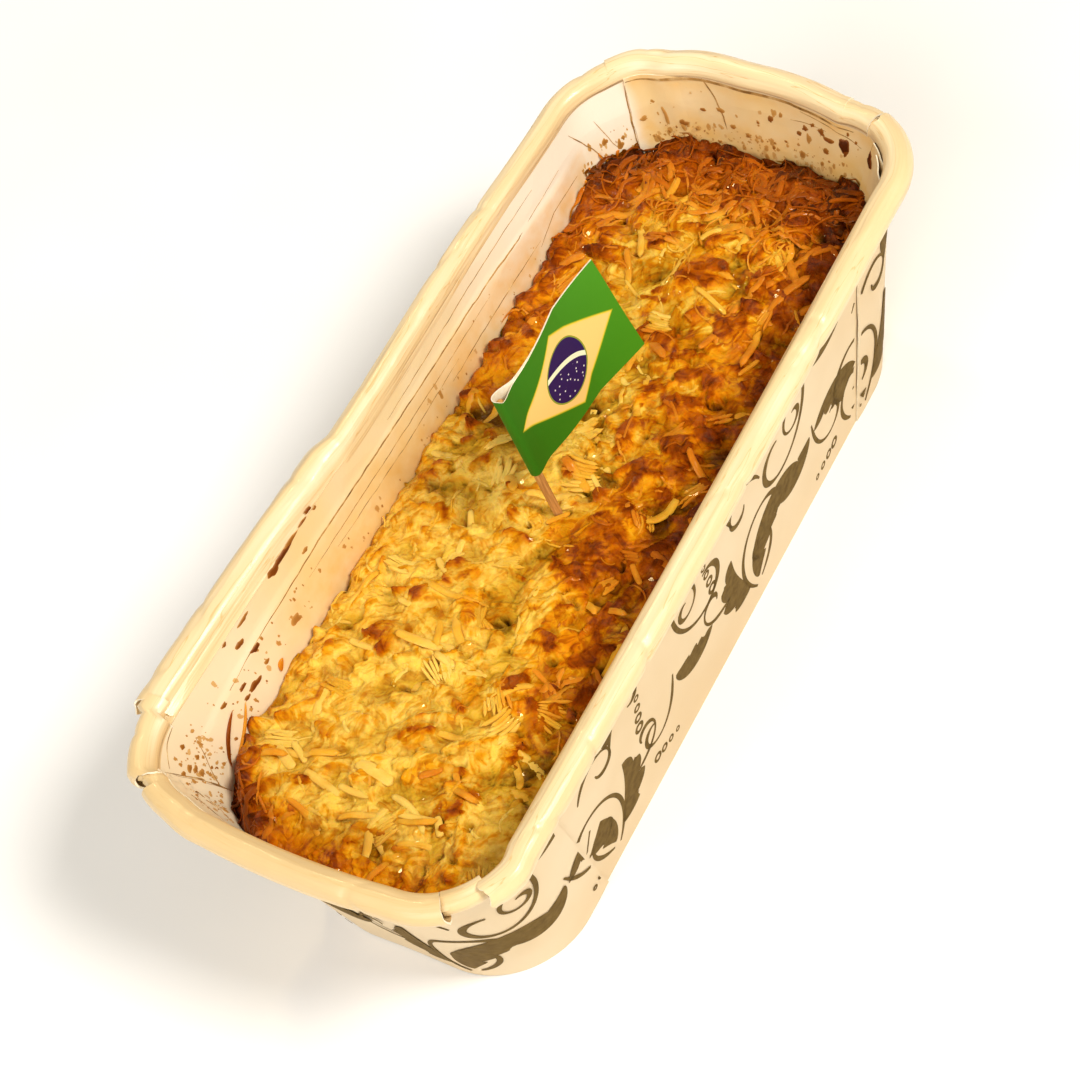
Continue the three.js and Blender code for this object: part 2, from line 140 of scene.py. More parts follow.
def cell_value(i, j, layer):
    """A number from 0 to 1 that belongs to a cell of a square lattice, as in the CAD model."""
    spread = np.asarray(i, np.int64) * 374761393 + np.asarray(j, np.int64) * 668265263
    bits = (spread + int(layer) * 1274126177) & 0xFFFFFFFF
    bits = ((bits ^ (bits >> 13)).astype(np.uint64) * np.uint64(1274126177)) & np.uint64(0xFFFFFFFF)
    bits = bits ^ (bits >> np.uint64(16))
    return bits.astype(float) / 4294967296.0


def wander(x, y, layer):
    """Smooth noise from -1 to 1 with lumps one unit wide."""
    i = np.floor(x)
    j = np.floor(y)
    fx = smooth(x - i)
    fy = smooth(y - j)
    low = mix(cell_value(i, j, layer), cell_value(i + 1, j, layer), fx)
    high = mix(cell_value(i, j + 1, layer), cell_value(i + 1, j + 1, layer), fx)
    return 2.0 * mix(low, high, fy) - 1.0


def rough(x, y, layer):
    """Three octaves of smooth noise."""
    coarse = wander(x, y, layer)
    medium = wander(2.03 * x + 17.1, 2.03 * y - 5.3, layer + 1)
    fine = wander(4.1 * x - 8.7, 4.1 * y + 3.9, layer + 2)
    return (coarse + 0.5 * medium + 0.25 * fine) / 1.75


def turned(dx, dy, turn):
    """How far a point lies along and across a direction."""
    return dx * np.cos(turn) + dy * np.sin(turn), dy * np.cos(turn) - dx * np.sin(turn)


def place_at(distance):
    """Place round the rim for a distance along the wall from the near end of the right wall."""
    return np.interp(np.mod(distance, ROUND_LENGTH), SIDE_ENDS, np.arange(9.0))


def distance_at(place):
    """Distance along the wall at a place round the rim."""
    return np.interp(place, np.arange(9.0), SIDE_ENDS)


def span_length(first, last):
    """Length of wall from one place to another, past the near right corner if it has to."""
    if last > ONCE_ROUND:
        return distance_at(ONCE_ROUND) - distance_at(first) + distance_at(last - ONCE_ROUND)
    return distance_at(last) - distance_at(first)


def round_outline(place, half_width, half_length, corner):
    """Point and outward direction at a place round a rounded rectangle."""
    place = np.mod(place, ONCE_ROUND)
    side = np.floor(place).astype(int)
    f = place - side
    x = half_width - corner
    y = half_length - corner
    starts = np.array([(x, -y), (x, y), (x, y), (-x, y), (-x, y), (-x, -y), (-x, -y), (x, -y)])
    ends = np.roll(starts, -1, axis=0)
    centre = starts[side] + (ends[side] - starts[side]) * f[:, None]
    is_corner = side % 2 == 1
    turn = np.where(is_corner, (side - 1) / 2.0 + f, side / 2.0) * math.pi / 2.0
    normal = np.stack([np.cos(turn), np.sin(turn)], axis=1)
    return centre + corner * normal, normal


def wall_bow(place):
    """How far the wall bows out at the rim."""
    u = np.mod(place, ONCE_ROUND)
    left = 1.8 * eased(u, 4.0, 4.3) + 2.2 * eased(u, 4.4, 5.0)
    cases = [u < 1, u < 2, u < 3, u < 4, u < 5, u < 5.42, u < 6, u < 7]
    bows = [
        0.5 * arch(u),
        0.8 * arch(u - 1.0),
        3.0 * arch(u - 2.0) + 1.8 * eased(u, 2.5, 2.9),
        1.8 * (1.0 - eased(u, 3.15, 3.55)),
        left,
        4.0 - eased(u, 5.0, 6.0),
        2.0 * (1.0 - eased(u, 5.42, 5.77)),
        arch(u - 6.0),
    ]
    return np.select(cases, bows, 0.0)


def soft_bow(place):
    """The bow without its sudden steps, for surfaces that run on across them."""
    spread = 0.03
    before = wall_bow(place - spread)
    after = wall_bow(place + spread)
    return 0.25 * before + 0.5 * wall_bow(place) + 0.25 * after


def wall_point(place, z, out):
    """Point of the wall at a place and height, moved outwards by a distance."""
    place = np.atleast_1d(np.asarray(place, float))
    z = np.broadcast_to(np.asarray(z, float), place.shape)
    out = np.broadcast_to(np.asarray(out, float), place.shape)
    t = z / ROLL_LEVEL
    low, normal = round_outline(place, *WALL_BASE)
    high, _ = round_outline(place, *WALL_TOP)
    reach = out + soft_bow(place) * np.maximum(t, 0.0) ** BOW_POWER
    flat = mix(low, high, t[:, None]) + normal * reach[:, None]
    return np.column_stack([flat, z])


def crease_level(place):
    """Height of the long crease along the left wall."""
    u = np.mod(place, ONCE_ROUND)
    places = [3.9, 4.04, 4.35, 4.6, 4.8, 4.95, 5.1]
    return np.interp(u, places, [42.6, 43.0, 44.7, 45.4, 45.6, 43.8, 41.0])


def inside_face(place, z):
    """How far out the inner face of the wall lies, with its creases and slight waves."""
    u = np.mod(place, ONCE_ROUND)
    distance = distance_at(u)
    waves = 0.05 * rough(distance / 16.0, z / 19.0, 301) + 0.03 * rough(distance / 5.0, z / 8.0, 305)
    ledge = -0.3 * eased(crease_level(u) - z, -0.35, 0.35) * between(u, 4.0, 4.08, 4.97, 5.06)
    return -0.55 + waves + ledge


# Height of the line where the wall turns into the roll, by place
BEAD_LEVELS = (
    (0.0, 50.0), (1.6, 50.0), (1.9, 50.6), (2.1, 51.0), (3.0, 51.0), (3.3, 50.6), (3.6, 50.8),
    (4.14, 50.9), (4.34, 49.3), (4.54, 48.9), (4.75, 49.9), (4.94, 50.6), (5.0, 50.9), (5.4, 50.6),
    (5.6, 50.2), (6.5, 50.0), (8.0, 50.0),
)


def bead_level(place):
    """Height of the line where the wall turns into the roll."""
    return np.interp(np.mod(place, ONCE_ROUND), *zip(*BEAD_LEVELS))


def roll_shift(place):
    """How much further out than usual the roll stands."""
    u = np.mod(place, ONCE_ROUND)
    loose = (0.4 + 1.2 * eased(u, STEP_LEFT, 5.085)) * eased(u, 4.57, 4.61)
    cases = [(u > 4.5) & (u < CUT_NEAR_LEFT), (u > CUT_NEAR) & (u < CUT_RIGHT), u >= CUT_RIGHT]
    return np.select(cases, [loose, -0.2, 0.8 * (1.0 - eased(u, 7.84, 8.0))], 0.0)


def lumps(x, y, size, seed):
    """Rounded lumps of one size: the highest of the leaning domes round each point."""
    i0 = np.floor(x / size)
    j0 = np.floor(y / size)
    top = np.full(x.shape, -1.0)
    for i in (i0 - 1, i0, i0 + 1):
        for j in (j0 - 1, j0, j0 + 1):
            own = [cell_value(i, j, seed + layer) for layer in range(5)]
            dx = x / size - (i + 0.15 + 0.7 * own[0])
            dy = y / size - (j + 0.15 + 0.7 * own[1])
            along, across = turned(dx, dy, math.pi * own[2])
            level = mix(0.55, 1.0, own[4]) + 0.9 * (own[3] - 0.5) * across
            top = np.maximum(top, level - 0.7 * along ** 2 - 1.7 * across ** 2)
    return top


def wall_distance(x, y):
    """Shortest distance from a point of the cake's top to the wall."""
    t = CAKE_EDGE_LEVEL / ROLL_LEVEL
    half_width, half_length, corner = (mix(low, high, t) for low, high in zip(WALL_BASE, WALL_TOP))
    qx = np.abs(x) - half_width + corner
    qy = np.abs(y) - half_length + corner
    beyond = np.hypot(np.maximum(qx, 0.0), np.maximum(qy, 0.0))
    return corner - beyond - np.minimum(np.maximum(qx, qy), 0.0)


def cake_top(x, y):
    """Level of the cake's top, as in the CAD model: a low dome with mounds and crags."""
    inwards = np.maximum(0.0, wall_distance(x, y))
    dome = 2.0 * smooth(inwards / 22.0)
    slump = 1.2 * (1.0 - smooth(inwards / 4.0))
    wx = x + 1.4 * np.sin(y * 0.31 + 1.7) + 0.8 * np.sin(y * 0.83)
    wy = y + 1.4 * np.sin(x * 0.37 + 0.4) + 0.8 * np.sin(x * 0.91 + 2.1)
    rise = 0.8 * eased(y, 35.0, 75.0)
    mounds = 3.2 * (lumps(wx, wy, 9.5, 11) - 0.6)
    crags = 1.7 * (lumps(wx, wy, 4.6, 37) - 0.6)
    return CAKE_EDGE_LEVEL + rise + dome - slump + mounds + crags


def blurred(field, radius):
    """A raster averaged three times over a square of the given half width in cells."""
    width = 2 * radius + 1
    for _ in range(6):
        total = np.cumsum(np.pad(field, ((radius + 1, radius), (0, 0)), "edge"), axis=0)
        field = ((total[width:] - total[:-width]) / width).T
    return field


def raster_sample(field, x, y):
    """Values of a raster between its cells."""
    i = np.clip((x + RASTER_HALF_WIDTH) / RASTER_PITCH, 0, field.shape[0] - 1.001)
    j = np.clip((y + RASTER_HALF_LENGTH) / RASTER_PITCH, 0, field.shape[1] - 1.001)
    i0 = i.astype(int)
    j0 = j.astype(int)
    fi = i - i0
    fj = j - j0
    low = mix(field[i0, j0], field[i0 + 1, j0], fi)
    high = mix(field[i0, j0 + 1], field[i0 + 1, j0 + 1], fi)
    return mix(low, high, fj)


def near_part(x, y, cx, cy, reach, turn):
    """The part of a raster near a point, and its distances along and across a direction there."""
    i0, i1 = np.searchsorted(x[:, 0], [cx - reach, cx + reach])
    j0, j1 = np.searchsorted(y[0], [cy - reach, cy + reach])
    part = np.s_[i0:i1, j0:j1]
    return part, *turned(x[part] - cx, y[part] - cy, turn)


def press_piece(rasters, x, y, cx, cy, heading, length, width, bend, lift, tilt, roll, stiff,
                square, flat, ridge, tone, torn):
    """Raises the raster where one half sunk shred or flake lies, and marks it with its tone."""
    height, tones, ground, ragged = rasters
    part, along, across = near_part(x, y, cx, cy, length / 2 + width, heading)
    across = across + bend * along ** 2
    uneven = 1.0 + torn * ragged[part]
    from_end = np.abs(2.0 * along / length) * uneven
    half = 0.5 * width * np.sqrt(unit(1.0 - from_end ** square))
    from_side = np.abs(across) / np.maximum(half, 1e-6) * uneven
    crown = (1.0 - np.minimum(from_side, 1.0) ** flat) ** 0.5
    centre = raster_sample(ground, np.array([cx]), np.array([cy]))[0]
    level = mix(ground[part], centre, stiff) + lift * crown
    level = level + tilt * along + roll * across
    level = level + ridge * np.cos(across * 2.0 * math.pi / RIDGE_PITCH)
    raised = (from_side < 1.0) & (from_end < 1.0) & (level > height[part])
    height[part][raised] = level[raised]
    tones[part][raised] = tone


# Kinds of half sunk pieces: number, length, width, lift, tilt, shape of their ends and of their
# crown, share of them that is ridged, and how torn their edge is
SUNK_KINDS = (
    (340, (4.5, 9.0), (2.6, 5.5), (0.1, 0.75), 0.12, 3.2, 8.0, 0.35, 0.35),
    (620, (5.0, 11.0), (1.5, 3.0), (0.1, 0.7), 0.11, 5.0, 6.0, 0.12, 0.15),
    (620, (4.0, 9.0), (0.8, 1.5), (0.1, 0.55), 0.08, 6.0, 3.0, 0.0, 0.1),
)
RIDGE_PITCH = 0.8


def sunk_pieces(x, y, ground):
    """The flakes and shreds that lie half sunk in the batter, as relief."""
    draw = np.random.default_rng(4021)
    height = ground.copy()
    tone = np.full(ground.shape, 0.5)
    ragged = rough(x / 1.3, y / 1.3, 613)
    for count, lengths, widths, lifts, tilt, square, flat, ridged, torn in SUNK_KINDS:
        for _ in range(count):
            cx = draw.uniform(-35.0, 35.0)
            cy = draw.uniform(-85.0, 85.0)
            drift = 2.4 * rough(np.array([cx / 19.0]), np.array([cy / 19.0]), 77)[0]
            press_piece(
                (height, tone, ground, ragged), x, y, cx, cy,
                heading=drift + draw.normal(0.0, 0.7),
                length=draw.uniform(*lengths),
                width=draw.uniform(*widths),
                bend=draw.normal(0.0, 0.02),
                lift=draw.uniform(*lifts),
                tilt=draw.normal(0.0, tilt),
                roll=draw.normal(0.0, tilt),
                stiff=draw.uniform(0.4, 0.95),
                square=square,
                flat=flat,
                ridge=0.13 if draw.uniform(0.0, 1.0) < ridged else 0.0,
                tone=draw.uniform(0.0, 1.0),
                torn=torn,
            )
    return height, tone


def sink_pockets(height, x, y):
    """Small deep pockets between the shreds, the hole by the pick and the gap at the near left corner."""
    corner = eased(-y - 0.8 * x, 92.5, 97.5) * (1.0 - eased(wall_distance(x, y), 1.0, 4.2))
    height -= 3.6 * corner * eased(-x, 17.0, 22.0)
    height -= 1.5 * np.exp(-((x - PICK_FOOT[0] - 1.6) ** 2 + (y - PICK_FOOT[1] - 0.6) ** 2) / 0.7)
    draw = np.random.default_rng(77)
    for _ in range(34):
        cx = draw.uniform(-30.0, 30.0)
        cy = draw.uniform(-80.0, 80.0)
        width = draw.uniform(0.4, 0.8)
        depth = draw.uniform(0.8, 2.0)
        stretch = draw.uniform(0.35, 0.9)
        part, along, across = near_part(x, y, cx, cy, 4.0, draw.uniform(0.0, math.pi))
        height[part] -= depth * np.exp(-((along * stretch) ** 2 + across ** 2) ** 1.5 / width ** 3)


# Larger toasted patches: middle, reach across and along the loaf, and how much browner
TOASTED_PATCHES = (
    (11.0, -10.0, 11.0, 9.0, 0.24), (6.0, 38.0, 7.0, 6.0, 0.14), (17.0, 22.0, 8.0, 8.0, 0.1),
    (-24.0, 58.0, 9.0, 13.0, 0.1), (-3.0, -26.0, 6.0, 5.0, 0.12), (18.0, -34.0, 8.0, 14.0, 0.08),
    (6.0, -42.0, 6.0, 6.0, 0.1), (7.0, -59.0, 6.0, 5.0, 0.12), (17.0, 8.0, 7.0, 6.0, -0.06),
)


def from_middle(patch, x, y):
    """0 in the middle of a patch of the top, and 1 at its reach."""
    across, along, wide, long = patch[:4]
    return np.hypot((x - across) / wide, (y - along) / long)


def regional_browning(x, y):
    """How brown the crust is in each region: the far end, the right wall's side, and the edges."""
    patches = rough(x / 13.0, y / 13.0, 501)
    away = wall_distance(x, y)
    near_corner = -y - 0.9 * x
    far = 0.36 * eased(y + 4.0 * patches, 62.0, 74.0) + 0.12 * eased(y, 10.0, 50.0)
    right = 0.13 * eased(x, 0.0, 10.0) * bump_at(y, 0.0, 34.0) + 0.18 * eased(x, 8.0, 20.0)
    far_left = 0.24 * eased(-x, 15.0, 25.0) * eased(y, 8.0, 22.0)
    near_edge = 0.2 * eased(-y, 70.0, 78.0)
    corner = 0.36 * eased(near_corner, 88.0, 101.0) + 0.25 * eased(near_corner, 96.0, 104.0)
    browned_side = 0.35 + 0.65 * unit(eased(x, 0.0, 20.0) + eased(np.abs(y), 60.0, 74.0))
    edge = browned_side * (0.14 * (1.0 - eased(away, 1.0, 7.0)) + 0.12 * (1.0 - eased(away, 0.5, 2.0)))
    amount = 0.05 + far + right * eased(y, -64.0, -40.0) + far_left + near_edge + corner + edge
    amount = amount + 0.07 * patches
    for patch in TOASTED_PATCHES:
        amount = amount + patch[4] * (1.0 - eased(from_middle(patch, x, y) + 0.35 * patches, 0.3, 1.1))
    return amount


def patchy_browning(x, y, region, rise, tone):
    """Crisp toasted flakes and patches on whatever stands up, more of them in browner regions."""
    score = 0.6 * rise + 0.36 * rough(x / 2.7, y / 2.7, 651) + 0.34 * rough(x / 1.1, y / 1.1, 653)
    score = score + 0.62 * (0.5 - tone)
    right = 0.8 * eased(x + 0.12 * y, -4.0, 17.0) * eased(y, -66.0, -36.0)
    share = right + 0.33 * eased(y, -30.0, 40.0) + 0.4 * region
    start = mix(0.8, 0.14, unit(share))
    core = eased(score, start, start + 0.45)
    halo = eased(score, start - 0.5, start + 0.15)
    return 0.78 * core * np.clip(0.6 - region, 0.1, 1.0) + 0.15 * halo


# Patches of painted shadow on the top, the flag's shadow first: middle, reach across and along the loaf, and
# how much darker
SHADOW_PATCHES = (
    (-18.0, 10.0, 10.0, 12.0, 0.38), (6.0, -44.0, 6.0, 5.0, 0.12), (-18.0, 74.0, 8.0, 4.0, -0.3),
)


def painted_shadows(x, y):
    """How much painted shadow darkens the crust: the right wall's shadow along it, and a few patches."""
    # Painted shadow of the right wall on the strip beside it.
    shade = 0.42 * eased(x, 17.0, 24.5) * eased(y, -76.0, -50.0)
    for patch in SHADOW_PATCHES:
        shade = shade + patch[4] * (1.0 - eased(from_middle(patch, x, y), 0.2, 1.1))
    return shade


def worn_height(x, y, height, calm):
    """The height with its calm parts smoothed and its middling forms a little stronger."""
    height = mix(height, np.maximum(blurred(height, 2), height - 0.25), 0.4 * calm)
    height = blurred(height, 16) * -0.18 + height * 1.18
    return height + 0.12 * rough(x / 2.1, y / 2.1, 601) + 0.06 * rough(x / 0.8, y / 0.8, 607)


def crust_looks(x, y, height, tone, outline, near_left, calm):
    """How browned each point is, and how much painted shade it gets in hollows, cracks and along flake edges,
    with the painted shadows added.
    """
    wide = blurred(height, 16)
    middle = blurred(height, 7)
    narrow = blurred(height, 3)
    valley = unit((wide - middle) / 0.65)
    crack = unit((narrow - height - 0.12) / 0.8)
    rise = (height - wide) / 0.9
    rim = unit((height - narrow) / 0.4)
    region = regional_browning(x, y)
    browned = region + patchy_browning(x, y, region, rise, tone) + 0.1 * rim + 0.05 * (tone - 0.5)
    browned = browned - (0.12 + 0.1 * eased(y, 20.0, 60.0)) * eased(tone, 0.78, 0.86)
    browned = browned + 0.08 * rough(x / 2.6, y / 2.6, 641) + 0.04 * np.clip(rise, -1.0, 1.0)
    # Painted shade: darker in the hollows, the cracks and along the flakes' edges, where shade falls.
    painted_shade = 0.75 * valley + 0.5 * crack + (0.28 - 0.1 * calm) * outline
    painted_shade = painted_shade * (1.0 - 0.35 * near_left * (1.0 - eased(y, -15.0, 5.0))) + painted_shadows(x, y)
    return unit(browned + bpy.context.scene.cake_top.browning), unit(painted_shade)


@functools.cache
def cake_relief():
    """Rasters of the cake's top: its level, its level without shreds, and how it looks there."""
    across = np.arange(-RASTER_HALF_WIDTH, RASTER_HALF_WIDTH + 0.01, RASTER_PITCH)
    along = np.arange(-RASTER_HALF_LENGTH, RASTER_HALF_LENGTH + 0.01, RASTER_PITCH)
    x, y = np.meshgrid(across, along, indexing="ij")
    ground = cake_top(x, y)
    even = blurred(ground, 6)
    ground = mix(ground, even, np.where(ground < even, 0.65, 0.25))
    height, tone = sunk_pieces(x, y, ground)
    sink_pockets(height, x, y)
    # Lines along the flakes' edges, later darkened as painted shade.
    outline = unit(4.0 * np.hypot(*np.gradient(tone)))
    near_left = (1.0 - eased(x + 0.1 * y, -16.0, 8.0)) * (1.0 - eased(y, 20.0, 45.0))
    calm = eased(rough(x / 7.0, y / 7.0, 617) + 0.45 * near_left, -0.05, 0.4)
    even_height = blurred(height, 5)
    height = worn_height(x, y, height, calm)
    browned, painted_shade = crust_looks(x, y, height, tone, outline, near_left, calm)
    return {
        "ground": ground, "even": even_height, "height": height,
        "browned": browned, "painted_shade": painted_shade, "tone": tone,
    }


def relief(name, x, y):
    """Values of one raster of the cake's top."""
    return raster_sample(cake_relief()[name], np.asarray(x, float), np.asarray(y, float))


def select_only(piece):
    """Selects one piece and nothing else, and makes it the active one."""
    bpy.ops.object.select_all(action="DESELECT")
    piece.select_set(True)
    bpy.context.view_layer.objects.active = piece


@contextlib.contextmanager
def edit_mode(piece, action="SELECT", kind="VERT"):
    """Edit mode on one piece, with all or nothing of it selected."""
    select_only(piece)
    bpy.ops.object.mode_set(mode="EDIT")
    bpy.ops.mesh.select_mode(type=kind)
    bpy.ops.mesh.select_all(action=action)
    yield
    bpy.ops.mesh.select_mode(type="VERT")
    bpy.ops.object.mode_set(mode="OBJECT")


def read_points(piece):
    """A piece's vertices, in metres."""
    flat = np.empty(len(piece.data.vertices) * 3)
    piece.data.vertices.foreach_get("co", flat)
    return flat.reshape(-1, 3)


def write_points(piece, points):
    """Puts a piece's vertices at points given in millimetres."""
    piece.data.vertices.foreach_set("co", (np.asarray(points) * MM).ravel())
    piece.data.update()


def write_uv(piece, u, v):
    """Gives each vertex's two surface coordinates to its corners."""
    layer = piece.data.uv_layers.active or piece.data.uv_layers.new(name="surface")
    corners = np.empty(len(piece.data.loops), int)
    piece.data.loops.foreach_get("vertex_index", corners)
    layer.data.foreach_set("uv", np.column_stack([u, v])[corners].ravel())


def write_value(piece, name, values):
    """Keeps one number for each vertex, for its material to read."""
    attribute = piece.data.attributes.get(name)
    if attribute is None:
        attribute = piece.data.attributes.new(name, "FLOAT", "POINT")
    attribute.data.foreach_set("value", np.asarray(values, np.float32))


def read_value(piece, name):
    """The number kept for each vertex."""
    values = np.empty(len(piece.data.vertices), np.float32)
    piece.data.attributes[name].data.foreach_get("value", values)
    return values.astype(float)


def name_active(name):
    """Names the active piece and its mesh."""
    piece = bpy.context.active_object
    piece.name = name
    piece.data.name = name
    return piece


def new_grid(name, columns, rows):
    """Adds a flat grid, and gives each vertex's place along and across it from 0 to 1."""
    bpy.ops.object.select_all(action="DESELECT")
    bpy.ops.mesh.primitive_grid_add(x_subdivisions=columns, y_subdivisions=rows, size=1)
    piece = name_active(name)
    flat = read_points(piece)
    return piece, flat[:, 0] + 0.5, flat[:, 1] + 0.5


def weld(piece, distance=1e-7):
    """Merges vertices that lie in one place."""
    with edit_mode(piece):
        bpy.ops.mesh.remove_doubles(threshold=distance)


def turn_outwards(piece):
    """Turns every face of a closed piece to look outwards."""
    with edit_mode(piece):
        bpy.ops.mesh.normals_make_consistent(inside=False)


def apply_modifier(piece, kind, **settings):
    """Adds a modifier with its settings and applies it."""
    select_only(piece)
    modifier = piece.modifiers.new(kind.lower(), kind)
    for setting, value in settings.items():
        setattr(modifier, setting, value)
    bpy.ops.object.modifier_apply(modifier=modifier.name)


def piece_from(name, points, faces):
    """A piece from blocks of points in millimetres and its faces."""
    mesh = bpy.data.meshes.new(name)
    mesh.from_pydata((np.concatenate(points) * MM).tolist(), [], faces)
    mesh.update()
    piece = bpy.data.objects.new(name, mesh)
    bpy.context.scene.collection.objects.link(piece)
    return piece


def many_copies(name, faces, copies):
    """One piece of many shaped copies, whose faces are all numbered like the first one's."""
    count = len(copies[0])
    every = [[i + k * count for i in face] for k in range(len(copies)) for face in faces]
    return piece_from(name, copies, every)


def thicken(piece, thickness, offset, *materials):
    """Gives a sheet of paper its thickness in millimetres, and its cut edges the second material."""
    give_materials(piece, *materials)
    apply_modifier(piece, "SOLIDIFY", thickness=thickness * MM, offset=offset, material_offset_rim=1)


def closed_template(piece, x, y, z):
    """Points and faces of a small model shape that is shaped, closed, and then removed."""
    write_points(piece, np.column_stack([x, y, z]) / MM)
    weld(piece, 1e-4)
    turn_outwards(piece)
    points = read_points(piece)
    faces = [list(polygon.vertices) for polygon in piece.data.polygons]
    bpy.data.objects.remove(piece)
    return points, faces


def give_materials(piece, *materials):
    """Gives a piece its materials: the first for its face, the second for inner sides and cut edges."""
    for material in materials:
        piece.data.materials.append(material)


def settle(piece, slot, *materials, angle=40.0):
    """Shades a piece, gives it its materials, and makes it ride on the body."""
    select_only(piece)
    bpy.ops.object.shade_smooth_by_angle(angle=math.radians(angle))
    give_materials(piece, *materials)
    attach(piece, "root")
    return piece


def linear(code):
    """Linear colour from an sRGB hex code."""
    channels = [int(code[i:i + 2], 16) / 255.0 for i in (1, 3, 5)]
    return tuple(c / 12.92 if c <= 0.04045 else ((c + 0.055) / 1.055) ** 2.4 for c in channels) + (1.0,)


def connect(tree, socket, value):
    """Gives an input a value, or a link where the value is another node's output."""
    if isinstance(value, bpy.types.NodeSocket):
        tree.links.new(value, socket)
    else:
        socket.default_value = value


def add_node(tree, kind, inputs=None, stops=(), **settings):
    """Adds a node with its settings, and gives each named input a value or a link."""
    made = tree.nodes.new(kind)
    for setting, value in settings.items():
        setattr(made, setting, value)
    for socket, value in (inputs or {}).items():
        connect(tree, made.inputs[socket], value)
    if stops:
        elements = made.color_ramp.elements
        while len(elements) < len(stops):
            elements.new(0.5)
        for element, (position, colour) in zip(elements, stops):
            element.position = position
            element.color = linear(colour) if isinstance(colour, str) else colour
    return made


def new_material(name):
    """A new material, its node tree and its shader."""
    material = bpy.data.materials.new(name)
    material.use_nodes = True
    tree = material.node_tree
    tree.nodes.clear()
    shader = add_node(tree, "ShaderNodeBsdfPrincipled")
    add_node(tree, "ShaderNodeOutputMaterial", {0: shader.outputs[0]})
    return material, tree, shader


def set_inputs(tree, shader, **values):
    """Gives the shader's inputs, named with underscores for spaces, their values or links."""
    for socket, value in values.items():
        connect(tree, shader.inputs[socket.replace("_", " ")], value)


def tinted(tree, colour, tints):
    """Multiplies a colour by tints: how much of each, what it follows, and its colours."""
    for share, value, stops in tints:
        tint = add_node(tree, "ShaderNodeValToRGB", {0: value}, stops=stops).outputs[0]
        colour = add_node(tree, "ShaderNodeMix", {0: share, 6: colour, 7: tint},
                          data_type="RGBA", blend_type="MULTIPLY").outputs[2]
    return colour


def overlaid(tree, colour, layers):
    """Lays colours over one another: how much of each shows, and the colour."""
    for share, above in layers:
        colour = add_node(tree, "ShaderNodeMix", {0: share, 6: colour, 7: above}, data_type="RGBA").outputs[2]
    return colour


def object_noise(tree, size_mm, detail=2.0, stretch=(1.0, 1.0, 1.0)):
    """Noise on Object coordinates with features of the given size."""
    place = add_node(tree, "ShaderNodeTexCoord").outputs["Object"]
    if stretch != (1.0, 1.0, 1.0):
        place = add_node(tree, "ShaderNodeMapping", {"Vector": place, "Scale": stretch}).outputs[0]
    scale = 1.0 / (size_mm * MM)
    inputs = {"Vector": place, "Scale": scale, "Detail": detail}
    return add_node(tree, "ShaderNodeTexNoise", inputs).outputs["Fac"]


def bumped(tree, shader, layers):
    """Chains bumps, each with a height socket and its depth in millimetres."""
    below = {}
    for height, depth in layers:
        inputs = {"Height": height, "Distance": depth * MM, "Strength": 1.0, **below}
        below = {"Normal": add_node(tree, "ShaderNodeBump", inputs).outputs[0]}
    set_inputs(tree, shader, **below)


def crumpled(tree, stretch):
    """Height of the facets of crumpled board, by how often they repeat along and across it."""
    surface = add_node(tree, "ShaderNodeTexCoord").outputs["UV"]
    place = add_node(tree, "ShaderNodeMapping", {"Vector": surface, "Scale": stretch}).outputs[0]
    cells = add_node(tree, "ShaderNodeTexVoronoi", {"Vector": place, "Scale": 1.0}, voronoi_dimensions="2D")
    return cells.outputs["Distance"]


def mottled(name, noise, stops, bumps=(), **inputs):
    """A material of uneven tone: the noise of its tone, its colours, and depth and noise of its bumps."""
    material, tree, shader = new_material(name)
    tone = add_node(tree, "ShaderNodeValToRGB", {0: object_noise(tree, *noise)}, stops=stops).outputs[0]
    set_inputs(tree, shader, Base_Color=tone, **inputs)
    bumped(tree, shader, [(object_noise(tree, *grain), depth) for depth, *grain in bumps])
    return material


@functools.cache
def coated_paper():
    """Greaseproof coated board: smooth, cream and glossy, a little uneven in tone and faintly crumpled."""
    material, tree, shader = new_material("coated_cream_paperboard")
    settings = bpy.context.scene.loaf_case
    tone = add_node(tree, "ShaderNodeValToRGB", {0: object_noise(tree, 14.0)}, stops=[
        (0.35, settings.cream), (0.7, settings.cream_shade),
    ]).outputs[0]
    grease_and_shade, painted_light = (
        add_node(tree, "ShaderNodeAttribute", attribute_name=name).outputs["Fac"]
        for name in ("grease_and_shade", "painted_light")
    )
    patches = {0: grease_and_shade, 1: object_noise(tree, 4.0, 4.0)}
    mottle = add_node(tree, "ShaderNodeMath", patches, operation="MULTIPLY")
    stronger = {0: mottle.outputs[0], 1: 1.6}
    soaked_and_shaded = add_node(tree, "ShaderNodeMath", stronger, operation="MULTIPLY", use_clamp=True)
    # Painted light turns the inner paper near white in two corners; the grease value also holds a band of
    # painted shade under the far roll.
    colour = overlaid(tree, tone, [(painted_light, linear("#faf3e0")), (soaked_and_shaded.outputs[0], settings.grease_and_shade)])
    set_inputs(tree, shader, Base_Color=colour, Roughness=0.34, IOR=1.5,
               Coat_Weight=0.25, Coat_Roughness=0.12)
    bumped(tree, shader, [
        (crumpled(tree, (17.5, 6.0, 1.0)), 0.35), (object_noise(tree, 9.0, 3.0), 0.12),
        (object_noise(tree, 0.6), 0.012),
    ])
    return material


